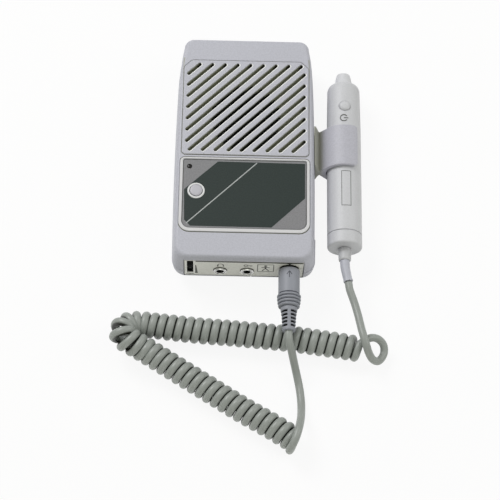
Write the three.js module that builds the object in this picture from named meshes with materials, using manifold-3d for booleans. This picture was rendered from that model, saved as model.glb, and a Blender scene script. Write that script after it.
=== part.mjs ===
// A pocket vascular doppler lying on its back: main unit, pencil probe in its side clip, and curly cord.
// Millimetres. +Z leaves the front face, +Y points to the speaker end, +X to the probe side.
// The origin is the centre of the flat back.

import * as THREE from 'three';
import { mergeVertices } from 'three/addons/utils/BufferGeometryUtils.js';
import Module from 'manifold-3d';

const wasm = await Module();
wasm.setup();

// General fits
const gap = 0.3;                 // running and seating gap between neighbouring pieces
const wall = 2.2;                // moulded wall of the case
const past = 5;                  // how far a cutting tool runs past what it cuts

// Case
const caseHalfWidth = 38.8;
const caseTop = 69.4;
const caseBottom = -68.3;
const caseDepth = 30.5;
const seamHeight = 15;
const sideBow = 1.0;             // how much the long sides bow in towards the ends
const shoulderBow = 1.6;         // extra narrowing near the speaker end
const shoulderStart = 45;
const shoulderLength = 20;
const bowCentre = -20;
const topCorner = 5;
const bottomCorner = 7;

// Grille
const slotCount = 16;
const slotPitch = 5.0;           // measured square to the slots
const slotWidth = 2.2;
const slotSideMargin = 6.7;      // from the slots' ends to the case's side
const slotFieldHalfWidth = caseHalfWidth - slotSideMargin;
const slotFieldHeight = 53.8;
const slotFieldBottom = -2.5;
const grilleMargin = 2.6;
const grilleRise = 0.5;
const grilleChamfer = 4.2;

// Label
const labelSideMargin = 5.2;
const labelWidth = 2 * (caseHalfWidth - labelSideMargin);
const labelHeight = 41.6;
const labelBottom = -50.0;
const labelPocket = 0.9;
const labelThickness = 0.8;
const labelLowerCorner = 4.2;
const labelUpperCorner = 1.0;
const bezelWidth = 1.5;
const bezelRise = 0.4;

// Calibrate button and lamp
const labelLeft = -labelWidth / 2;
const buttonFromLeft = 7.4;      // from the label's edges
const buttonFromBottom = 22.3;
const buttonAt = new THREE.Vector2(labelLeft + buttonFromLeft, labelBottom + buttonFromBottom);
const buttonRadius = 3.35;
const buttonRise = 1.1;
const buttonRingRadius = 4.7;
const buttonRingRise = 0.5;
const buttonTravel = 0.5;
const lampFromLeft = 3.5;
const lampFromTop = 4.4;
const lampAt = new THREE.Vector2(labelLeft + lampFromLeft, labelBottom + labelHeight - lampFromTop);
const lampRadius = 1.15;

// End panel
const panelFace = -67.5;
const panelThickness = 2.6;
const panelFlange = 1.2;
const panelLip = 1.4;
const panelLeftMargin = 7.2;
const panelRightMargin = 6.4;
const panelTopMargin = 4.5;
const panelLeft = panelLeftMargin - caseHalfWidth;
const panelRight = caseHalfWidth - panelRightMargin;
const panelLow = 8.3;
const panelHigh = caseDepth - panelTopMargin;

// Volume wheel
const wheelFromLeft = 3.2;       // from the panel's edges
const wheelFromTop = 6.5;
const wheelX = panelLeft + wheelFromLeft;
const wheelRadius = 8.2;
const wheelWidth = 2.4;
const wheelProud = 0.5;
const wheelHeight = panelHigh - wheelFromTop;
const wheelTeeth = 26;
const wheelShaftRadius = 1.3;
const wheelSlotLow = 13.2;
const wheelSlotClearance = 0.5;
const wheelThroat = 1.3;         // panel thickness left behind the slot's wide part
const toothDepth = 0.35;
const potSize = 8;
const potWidth = 5.6;

// Jacks
const jackSpacing = 14.5;
const headphoneFromLeft = 19.3;
const headphoneX = panelLeft + headphoneFromLeft;
const jackPlaces = { headphone: headphoneX, line: headphoneX + jackSpacing };
const jackHeight = 15;
const jackBore = 1.8;
const jackBarrel = 2.6;
const jackNut = 3.65;
const jackNutThickness = 0.7;
const jackBodyWidth = 7.4;
const jackBodyHeight = 5.6;
const jackBodyLength = 11;

// Probe socket and plug
const plugFromRight = 7.65;      // from the panel's edges
const plugFromTop = 7.4;
const plugX = panelRight - plugFromRight;
const plugHeight = panelHigh - plugFromTop;
const socketBarrel = 6.0;
const socketFlange = 7.4;
const socketDepth = 11.0;
const socketBore = 4.9;
const plugShellRadius = 4.55;
const plugShellWall = 0.6;
const plugShellLength = 7.5;
const pinRadius = 0.55;
const pinCircle = 2.1;
const pinLength = 5.5;
const plugBodyRadius = 5.6;
const plugBodyLength = 14.6;
const gripRadius = 6.3;
const gripRibs = 4;
const gripLength = 7.2;
const reliefLength = 14.3;
const reliefStart = 4.4;
const reliefEnd = 3.3;
const reliefSlots = 5;
const reliefSlotPitch = 2.1;
const reliefSlotWidth = 0.9;
const reliefSpine = 1.6;
const reliefCore = 2.5;

// Speaker
const speakerAt = new THREE.Vector2(0, 21);
const speakerRadius = 25;
const speakerOpening = 19;
const magnetRadius = 12.5;
const magnetDepth = 6;
const feltThickness = 0.8;

// Boards
const boardBase = 10.3;
const boardThickness = 1.6;
const boardSideMargin = 4.8;
const boardEnd = -4;
const boardLeft = boardSideMargin - caseHalfWidth;
const batteryWidth = 26.5;
const batterySideMargin = 7.0;
const batteryLeft = caseHalfWidth - batterySideMargin - batteryWidth;
const boardBatteryGap = 1.7;
const canFromEdge = 14.0;        // from the board's left edge
const canFromBattery = 7.3;
const shieldCan = {
  left: boardLeft + canFromEdge, right: batteryLeft - canFromBattery, low: -36, length: 14, height: 4.5,
};
const chipWidth = 10;
const chipFromBattery = 11.3;
const signalChip = {
  left: batteryLeft - chipFromBattery - chipWidth, right: batteryLeft - chipFromBattery,
  low: -16, length: 8, height: 1.6,
};
const capacitorFromEdge = 6.0;
const capacitorRows = [-30, -21];
const capacitorRadius = 3.1;
const capacitorHeight = 8;
const buttonBoardGap = 3.2;
const buttonBoardThickness = 1.2;

// Battery and door
const batteryDepth = 17.5;
const batteryLength = 46.5;
const batteryEnd = -51.5;
const batteryClearance = 0.5;
const terminalRadius = 2.9;
const terminalHeight = 2.0;
const terminalSpacing = 12.7;
const doorSideMargin = 0.7;
const doorLeft = batteryLeft - doorSideMargin;
const doorTop = -1.0;
const doorCornerTop = -48;

// Screws
const screwInset = 12.3;
const screwX = caseHalfWidth - screwInset;
const screwFromBattery = 4.9;
const screwPlaces = [
  [-screwX, caseTop - screwInset - 0.1], [screwX, caseTop - screwInset - 0.1],
  [-screwX, -42], [batteryLeft - screwFromBattery, -46],
];
const screwRadius = 1.2;
const screwHeadRadius = 2.5;
const screwHeadHeight = 1.7;
const screwLength = 15;
const screwRecess = 2.4;
const postRadius = 3.2;

// Probe and its holder
const probeFromCase = 16.2;
const probeX = caseHalfWidth + probeFromCase;
const probeHeight = 15;
const probeRadius = 9.5;
const probeWall = 1.8;
const probeBottom = -53.4;
const probeCapLength = 7.5;
const probeShoulder = 43.8;
const probeTop = 47.7;
const tipBase = 5.8;
const tipEnd = 3.45;
const tipLength = 7.1;
const tipFlange = 1.3;
const tipWall = 0.9;
const tipFace = 1.3;
const tipBore = 3.2;
const crystalThickness = 0.6;
const probeButtonY = 30.6;
const probeButtonRadius = 3.1;
const probeButtonRise = 1.0;
const probeButtonTravel = 0.5;
const probeBoardWidth = 14.4;
const probeBoardLength = 76;
const collarLength = 6.8;
const collarRadius = 3.6;
const sleeveRadius = 3.0;
const sleeveEndRadius = 2.45;
const holderLow = -7.4;
const holderHigh = 17.4;
const holderWall = 2.2;
const mouthAbove = 55;           // degrees from +X to the free end on the front side
const mouthBelow = -50;
const rootMeets = 140;           // degrees, where the root leaves the ring
const rootWaistOut = 2.6;        // from the case to where the root is thinnest
const rootWaist = 5.0;           // its thickness there
const rootFoot = 19.0;           // its height where it meets the case
const tongueLength = 4.5;
const tongueDepth = 2.8;         // how far it reaches into the case
const tongueThickness = 3.4;
const tongueWidth = 6.0;
const tongueLow = 2.0;

// Cord
const cordDiameter = 4.2;
const coilRadius = 4.9;          // to the middle of the cord
const coilPitch = 4.8;
const coilStepsPerTurn = 8;
const coilSides = 5;
const tailSides = 8;

// Shape helpers

function closed(geometry) {
  geometry.deleteAttribute('normal');
  geometry.deleteAttribute('uv');
  geometry.clearGroups();
  const merged = mergeVertices(geometry, 1e-4);
  const p = merged.attributes.position.array;
  const t = merged.index.array;
  let volume = 0;
  const a = new THREE.Vector3();
  const b = new THREE.Vector3();
  const c = new THREE.Vector3();
  for (let i = 0; i < t.length; i += 3) {
    a.fromArray(p, 3 * t[i]);
    b.fromArray(p, 3 * t[i + 1]);
    c.fromArray(p, 3 * t[i + 2]);
    volume += a.dot(b.cross(c));
  }
  const triangles = [];
  for (let i = 0; i < t.length; i += 3) {
    const corner = volume > 0 ? [t[i], t[i + 1], t[i + 2]] : [t[i], t[i + 2], t[i + 1]];
    if (corner[0] !== corner[1] && corner[1] !== corner[2] && corner[2] !== corner[0]) {
      triangles.push(...corner);
    }
  }
  merged.setIndex(triangles);
  return merged;
}

function solid(geometry) {
  const merged = closed(geometry);
  return new wasm.Manifold(new wasm.Mesh({
    numProp: 3,
    vertProperties: new Float32Array(merged.attributes.position.array),
    triVerts: new Uint32Array(merged.index.array),
  }));
}

function surface(manifold) {
  const mesh = manifold.getMesh();
  const geometry = new THREE.BufferGeometry();
  geometry.setAttribute('position', new THREE.BufferAttribute(mesh.vertProperties, 3));
  geometry.setIndex(new THREE.BufferAttribute(mesh.triVerts, 1));
  return geometry;
}

function join(...parts) {
  return parts.reduce((sum, part) => sum.add(part));
}

function box(low, high) {
  const size = high.map((v, i) => v - low[i]);
  const geometry = new THREE.BoxGeometry(...size);
  geometry.translate(...low.map((v, i) => v + size[i] / 2));
  return solid(geometry);
}

function turned(profile, axis, centre, sides = 32) {
  // profile: [radius, place along the axis] pairs; centre: the axis line's other two coordinates
  const geometry = new THREE.LatheGeometry(profile.map(([r, h]) => new THREE.Vector2(r, h)), sides);
  if (axis === 'z') {
    geometry.rotateX(Math.PI / 2);
    geometry.translate(centre[0], centre[1], 0);
  } else if (axis === 'x') {
    geometry.rotateZ(-Math.PI / 2);
    geometry.translate(0, centre[0], centre[1]);
  } else {
    geometry.translate(centre[0], 0, centre[1]);
  }
  return solid(geometry);
}

function rod(axis, centre, radius, from, to, sides = 32) {
  return turned([[0, from], [radius, from], [radius, to], [0, to]], axis, centre, sides);
}

function ring(axis, centre, inner, outer, from, to, sides = 32) {
  return turned([[inner, from], [outer, from], [outer, to], [inner, to], [inner, from]], axis, centre, sides);
}

function plate(shape, from, to, curveSegments = 5) {
  const geometry = new THREE.ExtrudeGeometry(shape, { depth: to - from, bevelEnabled: false, curveSegments });
  geometry.translate(0, 0, from);
  return solid(geometry);
}

function plateAlongY(shape, from, to, curveSegments = 6) {
  // the shape's x and y become X and Z
  const geometry = new THREE.ExtrudeGeometry(shape, { depth: to - from, bevelEnabled: false, curveSegments });
  geometry.rotateX(Math.PI / 2);
  geometry.translate(0, to, 0);
  return solid(geometry);
}

function roundedRectangle(left, bottom, width, height, lower, upper) {
  const right = left + width;
  const top = bottom + height;
  const shape = new THREE.Shape();
  shape.moveTo(left + lower, bottom);
  shape.lineTo(right - lower, bottom);
  shape.absarc(right - lower, bottom + lower, lower, -Math.PI / 2, 0);
  shape.lineTo(right, top - upper);
  shape.absarc(right - upper, top - upper, upper, 0, Math.PI / 2);
  shape.lineTo(left + upper, top);
  shape.absarc(left + upper, top - upper, upper, Math.PI / 2, Math.PI);
  shape.lineTo(left, bottom + lower);
  shape.absarc(left + lower, bottom + lower, lower, Math.PI, 1.5 * Math.PI);
  return shape;
}

// Case outline and the lofts made from it

function sideX(y) {
  const bow = sideBow * ((y - bowCentre) / (caseTop - bowCentre) * 1.27) ** 2;
  const shoulder = shoulderBow * (Math.max(0, y - shoulderStart) / shoulderLength) ** 2;
  return caseHalfWidth - bow - shoulder;
}

function caseOutline() {
  const half = [];
  const cornerSteps = 5;
  const sideSteps = 6;
  const low = caseBottom + bottomCorner;
  const high = caseTop - topCorner;
  for (let i = 0; i <= cornerSteps; i++) {
    const angle = (i / cornerSteps - 1) * Math.PI / 2;
    half.push([sideX(low) + bottomCorner * (Math.cos(angle) - 1), low + bottomCorner * Math.sin(angle)]);
  }
  for (let i = 1; i < sideSteps; i++) {
    const y = low + (high - low) * i / sideSteps;
    half.push([sideX(y), y]);
  }
  for (let i = 0; i <= cornerSteps; i++) {
    const angle = i / cornerSteps * Math.PI / 2;
    half.push([sideX(high) + topCorner * (Math.cos(angle) - 1), high + topCorner * Math.sin(angle)]);
  }
  const other = half.map(([x, y]) => [-x, y]).reverse();
  return [...half, ...other].map(([x, y]) => new THREE.Vector2(x, y));
}

const outline = caseOutline();

function loft(levels) {
  // levels: [height, inset of the sides, inset of the speaker end, inset of the panel end]
  const positions = [];
  for (const [z, side, top, bottom] of levels) {
    for (const p of outline) {
      const scaleX = (caseHalfWidth - side) / caseHalfWidth;
      const scaleY = p.y > 0 ? (caseTop - top) / caseTop : (caseBottom + bottom) / caseBottom;
      positions.push(p.x * scaleX, p.y * scaleY, z);
    }
  }
  const n = outline.length;
  const index = [];
  for (let k = 0; k + 1 < levels.length; k++) {
    for (let i = 0; i < n; i++) {
      const j = (i + 1) % n;
      const a = k * n + i;
      const b = k * n + j;
      index.push(a, b, b + n, a, b + n, a + n);
    }
  }
  const last = (levels.length - 1) * n;
  for (const [a, b, c] of THREE.ShapeUtils.triangulateShape(outline, [])) {
    index.push(a, c, b, last + a, last + b, last + c);
  }
  const geometry = new THREE.BufferGeometry();
  geometry.setAttribute('position', new THREE.Float32BufferAttribute(positions, 3));
  geometry.setIndex(index);
  return solid(geometry);
}

const backLevels = [
  [0, 6.0, 4.0, 5.5],
  [0.6, 5.0, 3.2, 4.7],
  [8.0, 0.7, 0.5, 0.5],
  [seamHeight, 0, 0, 0],
];
const frontLevels = [
  [seamHeight, 0, 0, 0],
  [caseDepth - 4.0, 1.0, 0.8, 0.9],
  [caseDepth - 1.9, 1.5, 1.2, 1.4],
  [caseDepth - 0.5, 2.4, 1.9, 2.2],
  [caseDepth, 3.3, 2.8, 2.9],
];

function inward(level, amount) {
  return [level[0], level[1] + amount, level[2] + amount, level[3] + amount];
}

function backCavity() {
  const levels = backLevels.slice(2).map((level) => inward(level, wall));
  levels[levels.length - 1][0] += past;
  return loft([[wall, 6.6, 5.0, 6.3], ...levels]);
}

function frontCavity() {
  const levels = frontLevels.slice(0, 2).map((level) => inward(level, wall));
  levels[0][0] -= past;
  return loft([...levels, [caseDepth - wall, 4.8, 3.9, 4.1]]);
}

// Shared places worked out from the sizes above

const faceInside = caseDepth - wall;
const panelBack = panelFace + panelThickness + panelFlange;
const boardTop = boardBase + boardThickness;
const buttonBoardTop = faceInside - buttonBoardGap;
const wheelY = panelFace - wheelProud + wheelRadius;
const labelFloor = caseDepth - labelPocket;
const labelTop = labelFloor + labelThickness;
const bossHoleTop = screwRecess + screwLength + gap;

// Openings in the front

function slotCutter() {
  const step = slotPitch * Math.SQRT2;
  const fieldTop = slotFieldBottom + slotFieldHeight;
  const middle = slotFieldBottom + slotFieldHeight / 2;
  const cutters = [];
  for (let k = 0; k < slotCount; k++) {
    const rise = middle + ((slotCount - 1) / 2 - k) * step;
    const x0 = Math.max(-slotFieldHalfWidth, slotFieldBottom - rise);
    const x1 = Math.min(slotFieldHalfWidth, fieldTop - rise);
    const radius = slotWidth / 2;
    const shape = new THREE.Shape();
    shape.absarc(x0, x0 + rise, radius, 0.75 * Math.PI, 1.75 * Math.PI);
    shape.absarc(x1, x1 + rise, radius, -0.25 * Math.PI, 0.75 * Math.PI);
    cutters.push(plate(shape, faceInside - past, caseDepth + past, 3));
  }
  return join(...cutters);
}

function grillePad() {
  const x = slotFieldHalfWidth + grilleMargin - 0.2;
  const y0 = slotFieldBottom - grilleMargin - 0.2;
  const y1 = slotFieldBottom + slotFieldHeight + grilleMargin;
  const shape = new THREE.Shape([
    new THREE.Vector2(-x + 1, y0), new THREE.Vector2(x - 1, y0), new THREE.Vector2(x, y0 + 1),
    new THREE.Vector2(x, y1 - grilleChamfer), new THREE.Vector2(x - grilleChamfer, y1),
    new THREE.Vector2(-x + grilleChamfer, y1), new THREE.Vector2(-x, y1 - grilleChamfer),
    new THREE.Vector2(-x, y0 + 1),
  ]);
  return plate(shape, caseDepth - 0.6, caseDepth + grilleRise);
}

function panelOpening() {
  const flangeFront = panelFace + panelThickness;
  return join(
    box([panelLeft - gap, caseBottom - past, panelLow - gap], [panelRight + gap, panelBack, panelHigh + gap]),
    box(
      [panelLeft - panelLip - gap, flangeFront - gap, panelLow - panelLip - gap],
      [panelRight + panelLip + gap, panelBack + gap, panelHigh + panelLip + gap],
    ),
  );
}

function doorRegion(grow) {
  const right = caseHalfWidth + past;
  const low = caseBottom - past;
  const back = box([doorLeft - grow, low, -past], [right, doorTop + grow, wall + grow]);
  const corner = box([panelRight + gap - grow, low, -past], [right, doorCornerTop + grow, seamHeight + grow]);
  const end = box([doorLeft - grow, low, -past], [right, caseBottom + 6, panelLow - gap]);
  return join(back, corner, end);
}

function tongue(grow) {
  const inside = caseHalfWidth - tongueDepth;
  const high = seamHeight - 0.4;
  return box(
    [inside, tongueLow - grow, high - tongueThickness - grow],
    [inside + tongueLength, tongueLow + tongueWidth + grow, high + grow],
  );
}

function frontShell() {
  let shell = loft(frontLevels).add(grillePad());
  const bezel = roundedRectangle(
    labelLeft - bezelWidth, labelBottom - bezelWidth - 0.5, labelWidth + 2 * bezelWidth,
    labelHeight + 2 * bezelWidth, labelLowerCorner + bezelWidth, labelUpperCorner + bezelWidth,
  );
  shell = shell.add(plate(bezel, caseDepth - 0.6, caseDepth + bezelRise));
  const cavity = frontCavity();
  shell = shell.subtract(cavity);
  for (const [x, y] of screwPlaces) {
    const low = y < 0 ? boardTop + gap : boardBase;
    const boss = rod('z', [x, y], postRadius, low, faceInside + 0.5, 12);
    const hole = rod('z', [x, y], screwRadius + gap, low - past, bossHoleTop, 8);
    shell = shell.add(boss).subtract(hole);
  }
  const pocket = roundedRectangle(
    labelLeft, labelBottom, labelWidth, labelHeight, labelLowerCorner, labelUpperCorner,
  );
  shell = shell.subtract(plate(pocket, labelFloor, caseDepth + past));
  shell = shell.subtract(slotCutter());
  shell = shell.subtract(rod('z', buttonAt.toArray(), buttonRadius + gap, faceInside - past, caseDepth + past));
  shell = shell.subtract(rod('z', lampAt.toArray(), lampRadius + gap, faceInside - past, caseDepth + past, 16));
  return shell.subtract(panelOpening());
}

function backShellForm() {
  return loft(backLevels).subtract(backCavity());
}

function rearShell() {
  let shell = backShellForm().subtract(doorRegion(gap)).subtract(panelOpening());
  for (const [x, y] of screwPlaces) {
    const high = boardBase - gap;
    shell = shell.add(rod('z', [x, y], postRadius, 0.5, high, 12));
    shell = shell.subtract(rod('z', [x, y], screwRadius + 2 * gap, -past, high + past, 8));
    shell = shell.subtract(rod('z', [x, y], screwHeadRadius + gap, -past, screwRecess, 16));
  }
  const slot = tongue(gap);
  return shell.subtract(slot);
}

function batteryDoor() {
  return backShellForm().intersect(doorRegion(0)).subtract(panelOpening());
}

function endPanel() {
  let panel = box(
    [panelLeft, panelFace, panelLow],
    [panelRight, panelFace + panelThickness, panelHigh],
  );
  panel = panel.add(box(
    [panelLeft - panelLip, panelFace + panelThickness, panelLow - panelLip],
    [panelRight + panelLip, panelBack, panelHigh + panelLip],
  ));
  const slotX = [-1, 1].map((side) => wheelX + side * (wheelWidth / 2 + wheelSlotClearance));
  const throat = panelFace + wheelThroat;
  const behind = wheelRadius - wheelSlotClearance;
  panel = panel.subtract(box(
    [slotX[0], panelFace - past, wheelSlotLow],
    [slotX[1], throat + 0.1, panelHigh],
  ));
  panel = panel.subtract(box(
    [slotX[0], throat, wheelHeight - behind],
    [slotX[1], panelBack + past, wheelHeight + behind],
  ));
  for (const x of Object.values(jackPlaces)) {
    panel = panel.subtract(rod('y', [x, jackHeight], jackBarrel + gap, panelFace - past, panelBack + past, 16));
  }
  return panel.subtract(rod('y', [plugX, plugHeight], socketBarrel + gap, panelFace - past, panelBack + past));
}

// Front controls

function namePlate() {
  const shape = roundedRectangle(
    labelLeft + gap, labelBottom + gap, labelWidth - 2 * gap, labelHeight - 2 * gap,
    labelLowerCorner - gap, labelUpperCorner - gap,
  );
  let label = plate(shape, labelFloor, labelTop);
  label = label.subtract(rod('z', buttonAt.toArray(), buttonRadius + gap, labelFloor - past, labelTop + past));
  return label.subtract(rod('z', lampAt.toArray(), lampRadius + gap, labelFloor - past, labelTop + past, 16));
}

function buttonBezel() {
  const inner = buttonRadius + gap;
  return ring('z', buttonAt.toArray(), inner, buttonRingRadius, labelTop, labelTop + buttonRingRise, 24);
}

const switchTop = buttonBoardTop + 1.4;
function calibrateButton() {
  const foot = switchTop + gap + buttonTravel;
  const shoulder = faceInside - gap;
  const top = caseDepth + buttonRise;
  const profile = [
    [0, foot], [buttonRadius + 0.9, foot], [buttonRadius + 0.9, shoulder], [buttonRadius, shoulder],
    [buttonRadius, top - 0.5], [buttonRadius - 0.5, top - 0.15], [0, top],
  ];
  return turned(profile, 'z', buttonAt.toArray(), 24);
}

function calibrateSwitch() {
  const [x, y] = buttonAt.toArray();
  const base = box([x - 3, y - 3, buttonBoardTop], [x + 3, y + 3, switchTop - 0.5]);
  return base.add(rod('z', [x, y], 1.6, buttonBoardTop, switchTop, 16));
}

function powerLamp() {
  const top = labelTop + 0.25;
  const profile = [
    [0, buttonBoardTop], [lampRadius, buttonBoardTop], [lampRadius, top - 0.4],
    [lampRadius * 0.7, top], [0, top],
  ];
  return turned(profile, 'z', lampAt.toArray(), 16);
}

function buttonBoard() {
  const low = buttonBoardTop - buttonBoardThickness;
  let board = box(
    [labelLeft + 2, labelBottom + 3, low],
    [batteryLeft + doorSideMargin, labelBottom + labelHeight - 2, buttonBoardTop],
  );
  for (const [x, y] of screwPlaces) {
    board = board.subtract(rod('z', [x, y], postRadius + gap, low - past, buttonBoardTop + past, 10));
  }
  return board;
}

// Speaker

const feltTop = faceInside - gap;
function speakerFelt() {
  const x = slotFieldHalfWidth - 0.4;
  const y0 = slotFieldBottom - 2;
  const y1 = slotFieldBottom + slotFieldHeight - 0.3;
  let felt = box([-x, y0, feltTop - feltThickness], [x, y1, feltTop]);
  for (const [px, py] of screwPlaces) {
    felt = felt.subtract(rod('z', [px, py], postRadius + gap, feltTop - past, feltTop + past, 10));
  }
  return felt.subtract(rod('z', speakerAt.toArray(), speakerOpening, feltTop - past, feltTop + past, 28));
}

const flangeTop = feltTop - feltThickness - gap;
const basketFoot = flangeTop - 7.2;
function speakerFrame() {
  const profile = [
    [speakerOpening + 1, flangeTop], [speakerRadius, flangeTop], [speakerRadius, flangeTop - 1.0],
    [speakerRadius - 2.5, flangeTop - 1.0], [magnetRadius + 1, basketFoot], [6, basketFoot],
    [6, basketFoot + 0.8], [magnetRadius, basketFoot + 0.8], [speakerOpening + 1, flangeTop - 1.4],
    [speakerOpening + 1, flangeTop],
  ];
  return turned(profile, 'z', speakerAt.toArray(), 24);
}

function speakerCone() {
  const rim = flangeTop - 0.2;
  const outer = speakerOpening + 1 - gap;
  const profile = [
    [0, rim - 2.4], [4.5, rim - 4.0], [outer - 3, rim - 0.9], [outer - 1.5, rim], [outer, rim - 0.8],
    [outer, rim - 1.1], [outer - 1.5, rim - 0.4], [outer - 3, rim - 1.5], [5, rim - 5.0], [0, rim - 3.2],
  ];
  return turned(profile, 'z', speakerAt.toArray(), 24);
}

function speakerMagnet() {
  const top = basketFoot - gap;
  const core = rod('z', speakerAt.toArray(), 3.5, top - magnetDepth, basketFoot + 1.6, 16);
  return core.add(rod('z', speakerAt.toArray(), magnetRadius, top - magnetDepth, top, 28));
}

// Main board and what stands on it

function mainBoard() {
  const mid = batteryLeft - boardBatteryGap;
  const right = jackPlaces.line + jackBodyWidth / 2 + 1.5;
  const low = panelBack + gap;
  const step = batteryEnd - gap - 0.5;
  const shape = new THREE.Shape([
    new THREE.Vector2(boardLeft + 3, low), new THREE.Vector2(right, low), new THREE.Vector2(right, step),
    new THREE.Vector2(mid, step), new THREE.Vector2(mid, boardEnd), new THREE.Vector2(boardLeft, boardEnd),
    new THREE.Vector2(boardLeft, low + 5),
  ]);
  let board = plate(shape, boardBase, boardTop);
  const reach = wheelY + wheelRadius + 1;
  board = board.subtract(box(
    [wheelX - wheelWidth / 2 - wheelSlotClearance, low - past, boardBase - past],
    [wheelX + wheelWidth / 2 + wheelSlotClearance, reach, boardTop + past],
  ));
  for (const [x, y] of screwPlaces) {
    board = board.subtract(rod('z', [x, y], screwRadius + 2 * gap, boardBase - past, boardTop + past, 8));
  }
  return board;
}

function onBoard({ left, right, low, length, height }) {
  return box([left, low, boardTop], [right, low + length, boardTop + height]);
}

function filterCapacitor(y) {
  const r = capacitorRadius;
  const top = boardTop + capacitorHeight;
  return turned([
    [0, boardTop], [r, boardTop], [r, boardTop + 1.2], [r - 0.3, boardTop + 1.5], [r, boardTop + 1.8],
    [r, top - 0.4], [r - 0.4, top], [0, top],
  ], 'z', [boardLeft + capacitorFromEdge, y], 14);
}

function volumeWheel() {
  const shape = new THREE.Shape();
  const steps = wheelTeeth * 2;
  for (let i = 0; i < steps; i++) {
    const radius = wheelRadius - (i % 2) * toothDepth;
    const angle = i / steps * 2 * Math.PI;
    const point = [radius * Math.cos(angle), radius * Math.sin(angle)];
    if (i === 0) {
      shape.moveTo(...point);
    } else {
      shape.lineTo(...point);
    }
  }
  const bore = new THREE.Path();
  bore.absarc(0, 0, wheelShaftRadius + gap, 0, 2 * Math.PI, true);
  shape.holes.push(bore);
  const options = { depth: wheelWidth, bevelEnabled: false, curveSegments: 10 };
  const geometry = new THREE.ExtrudeGeometry(shape, options);
  geometry.rotateY(Math.PI / 2);
  geometry.translate(wheelX - wheelWidth / 2, wheelY, wheelHeight);
  return solid(geometry);
}

function volumePot() {
  const left = wheelX + wheelWidth / 2 + gap;
  const low = panelBack + gap;
  const body = box([left, low, boardTop], [left + potWidth, low + potSize, wheelHeight + potSize / 2]);
  const shaft = rod('x', [wheelY, wheelHeight], wheelShaftRadius, wheelX - wheelWidth / 2 - 0.4, left + 1, 16);
  return body.add(shaft);
}

function jack(x) {
  const back = panelBack + gap;
  const low = boardTop;
  const body = box(
    [x - jackBodyWidth / 2, back, low],
    [x + jackBodyWidth / 2, back + jackBodyLength, jackHeight + jackBodyHeight / 2],
  );
  const front = panelFace - gap - jackNutThickness + 0.1;
  const barrel = rod('y', [x, jackHeight], jackBarrel, front, back + 1, 16);
  const bore = rod('y', [x, jackHeight], jackBore, front - past, back + jackBodyLength - 1.5, 16);
  return body.add(barrel).subtract(bore);
}

function jackNutRing(x) {
  const back = panelFace - gap;
  const front = back - jackNutThickness;
  const inner = jackBarrel + gap;
  const profile = [
    [inner, back], [jackNut, back], [jackNut, front + 0.25], [jackNut - 0.25, front],
    [inner, front], [inner, back],
  ];
  return turned(profile, 'y', [x, jackHeight], 16);
}

// Socket and plug

const socketMouth = panelFace + 0.6;
const socketCentre = [plugX, plugHeight];
const pinAngles = [90, 210, 330];

function pinPlace(angle) {
  const a = THREE.MathUtils.degToRad(angle);
  return [plugX + pinCircle * Math.cos(a), plugHeight + pinCircle * Math.sin(a)];
}

function probeSocket() {
  const back = panelBack + gap;
  const barrelEnd = socketMouth + socketDepth + 2;
  let socket = rod('y', socketCentre, socketBarrel, socketMouth, barrelEnd, 24);
  socket = socket.add(rod('y', socketCentre, socketFlange, back, back + 1.6, 24));
  socket = socket.subtract(
    rod('y', socketCentre, socketBore, socketMouth - past, socketMouth + socketDepth - 2, 24),
  );
  const core = rod('y', socketCentre, plugShellRadius - plugShellWall - gap, socketMouth + 1.2, barrelEnd, 16);
  socket = socket.add(core);
  for (const angle of pinAngles) {
    const hole = rod('y', pinPlace(angle), pinRadius + gap, socketMouth - past, socketMouth + 8, 8);
    socket = socket.subtract(hole);
  }
  return socket;
}

const plugFront = socketMouth - gap;
const gripStart = plugFront - plugBodyLength - gap;
const reliefTop = gripStart - gripLength - gap;
const cordExit = reliefTop - reliefLength;

function plugShell() {
  const inner = plugShellRadius - plugShellWall;
  return ring('y', socketCentre, inner, plugShellRadius, socketMouth, socketMouth + plugShellLength, 24);
}

function plugPins() {
  let pins = rod('y', socketCentre, plugShellRadius - plugShellWall - gap, socketMouth, socketMouth + 0.8, 16);
  for (const angle of pinAngles) {
    pins = pins.add(rod('y', pinPlace(angle), pinRadius, socketMouth + 0.5, socketMouth + pinLength, 8));
  }
  return pins;
}

function plugBody() {
  const back = plugFront - plugBodyLength;
  return turned([
    [0, plugFront], [plugBodyRadius - 0.5, plugFront], [plugBodyRadius, plugFront - 0.5],
    [plugBodyRadius, back], [0, back],
  ], 'y', socketCentre);
}

function plugGrip() {
  const pitch = gripLength / gripRibs;
  const profile = [[0, gripStart], [plugBodyRadius, gripStart]];
  for (let i = 0; i < gripRibs; i++) {
    const y = gripStart - i * pitch;
    const radius = gripRadius - 0.12 * i * i / 2;
    profile.push([radius - 0.7, y - 0.15 * pitch], [radius, y - 0.75 * pitch], [radius - 0.3, y - pitch + 0.1]);
  }
  profile.push([reliefStart + 0.2, gripStart - gripLength], [0, gripStart - gripLength]);
  return turned(profile, 'y', socketCentre, 18);
}

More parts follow.
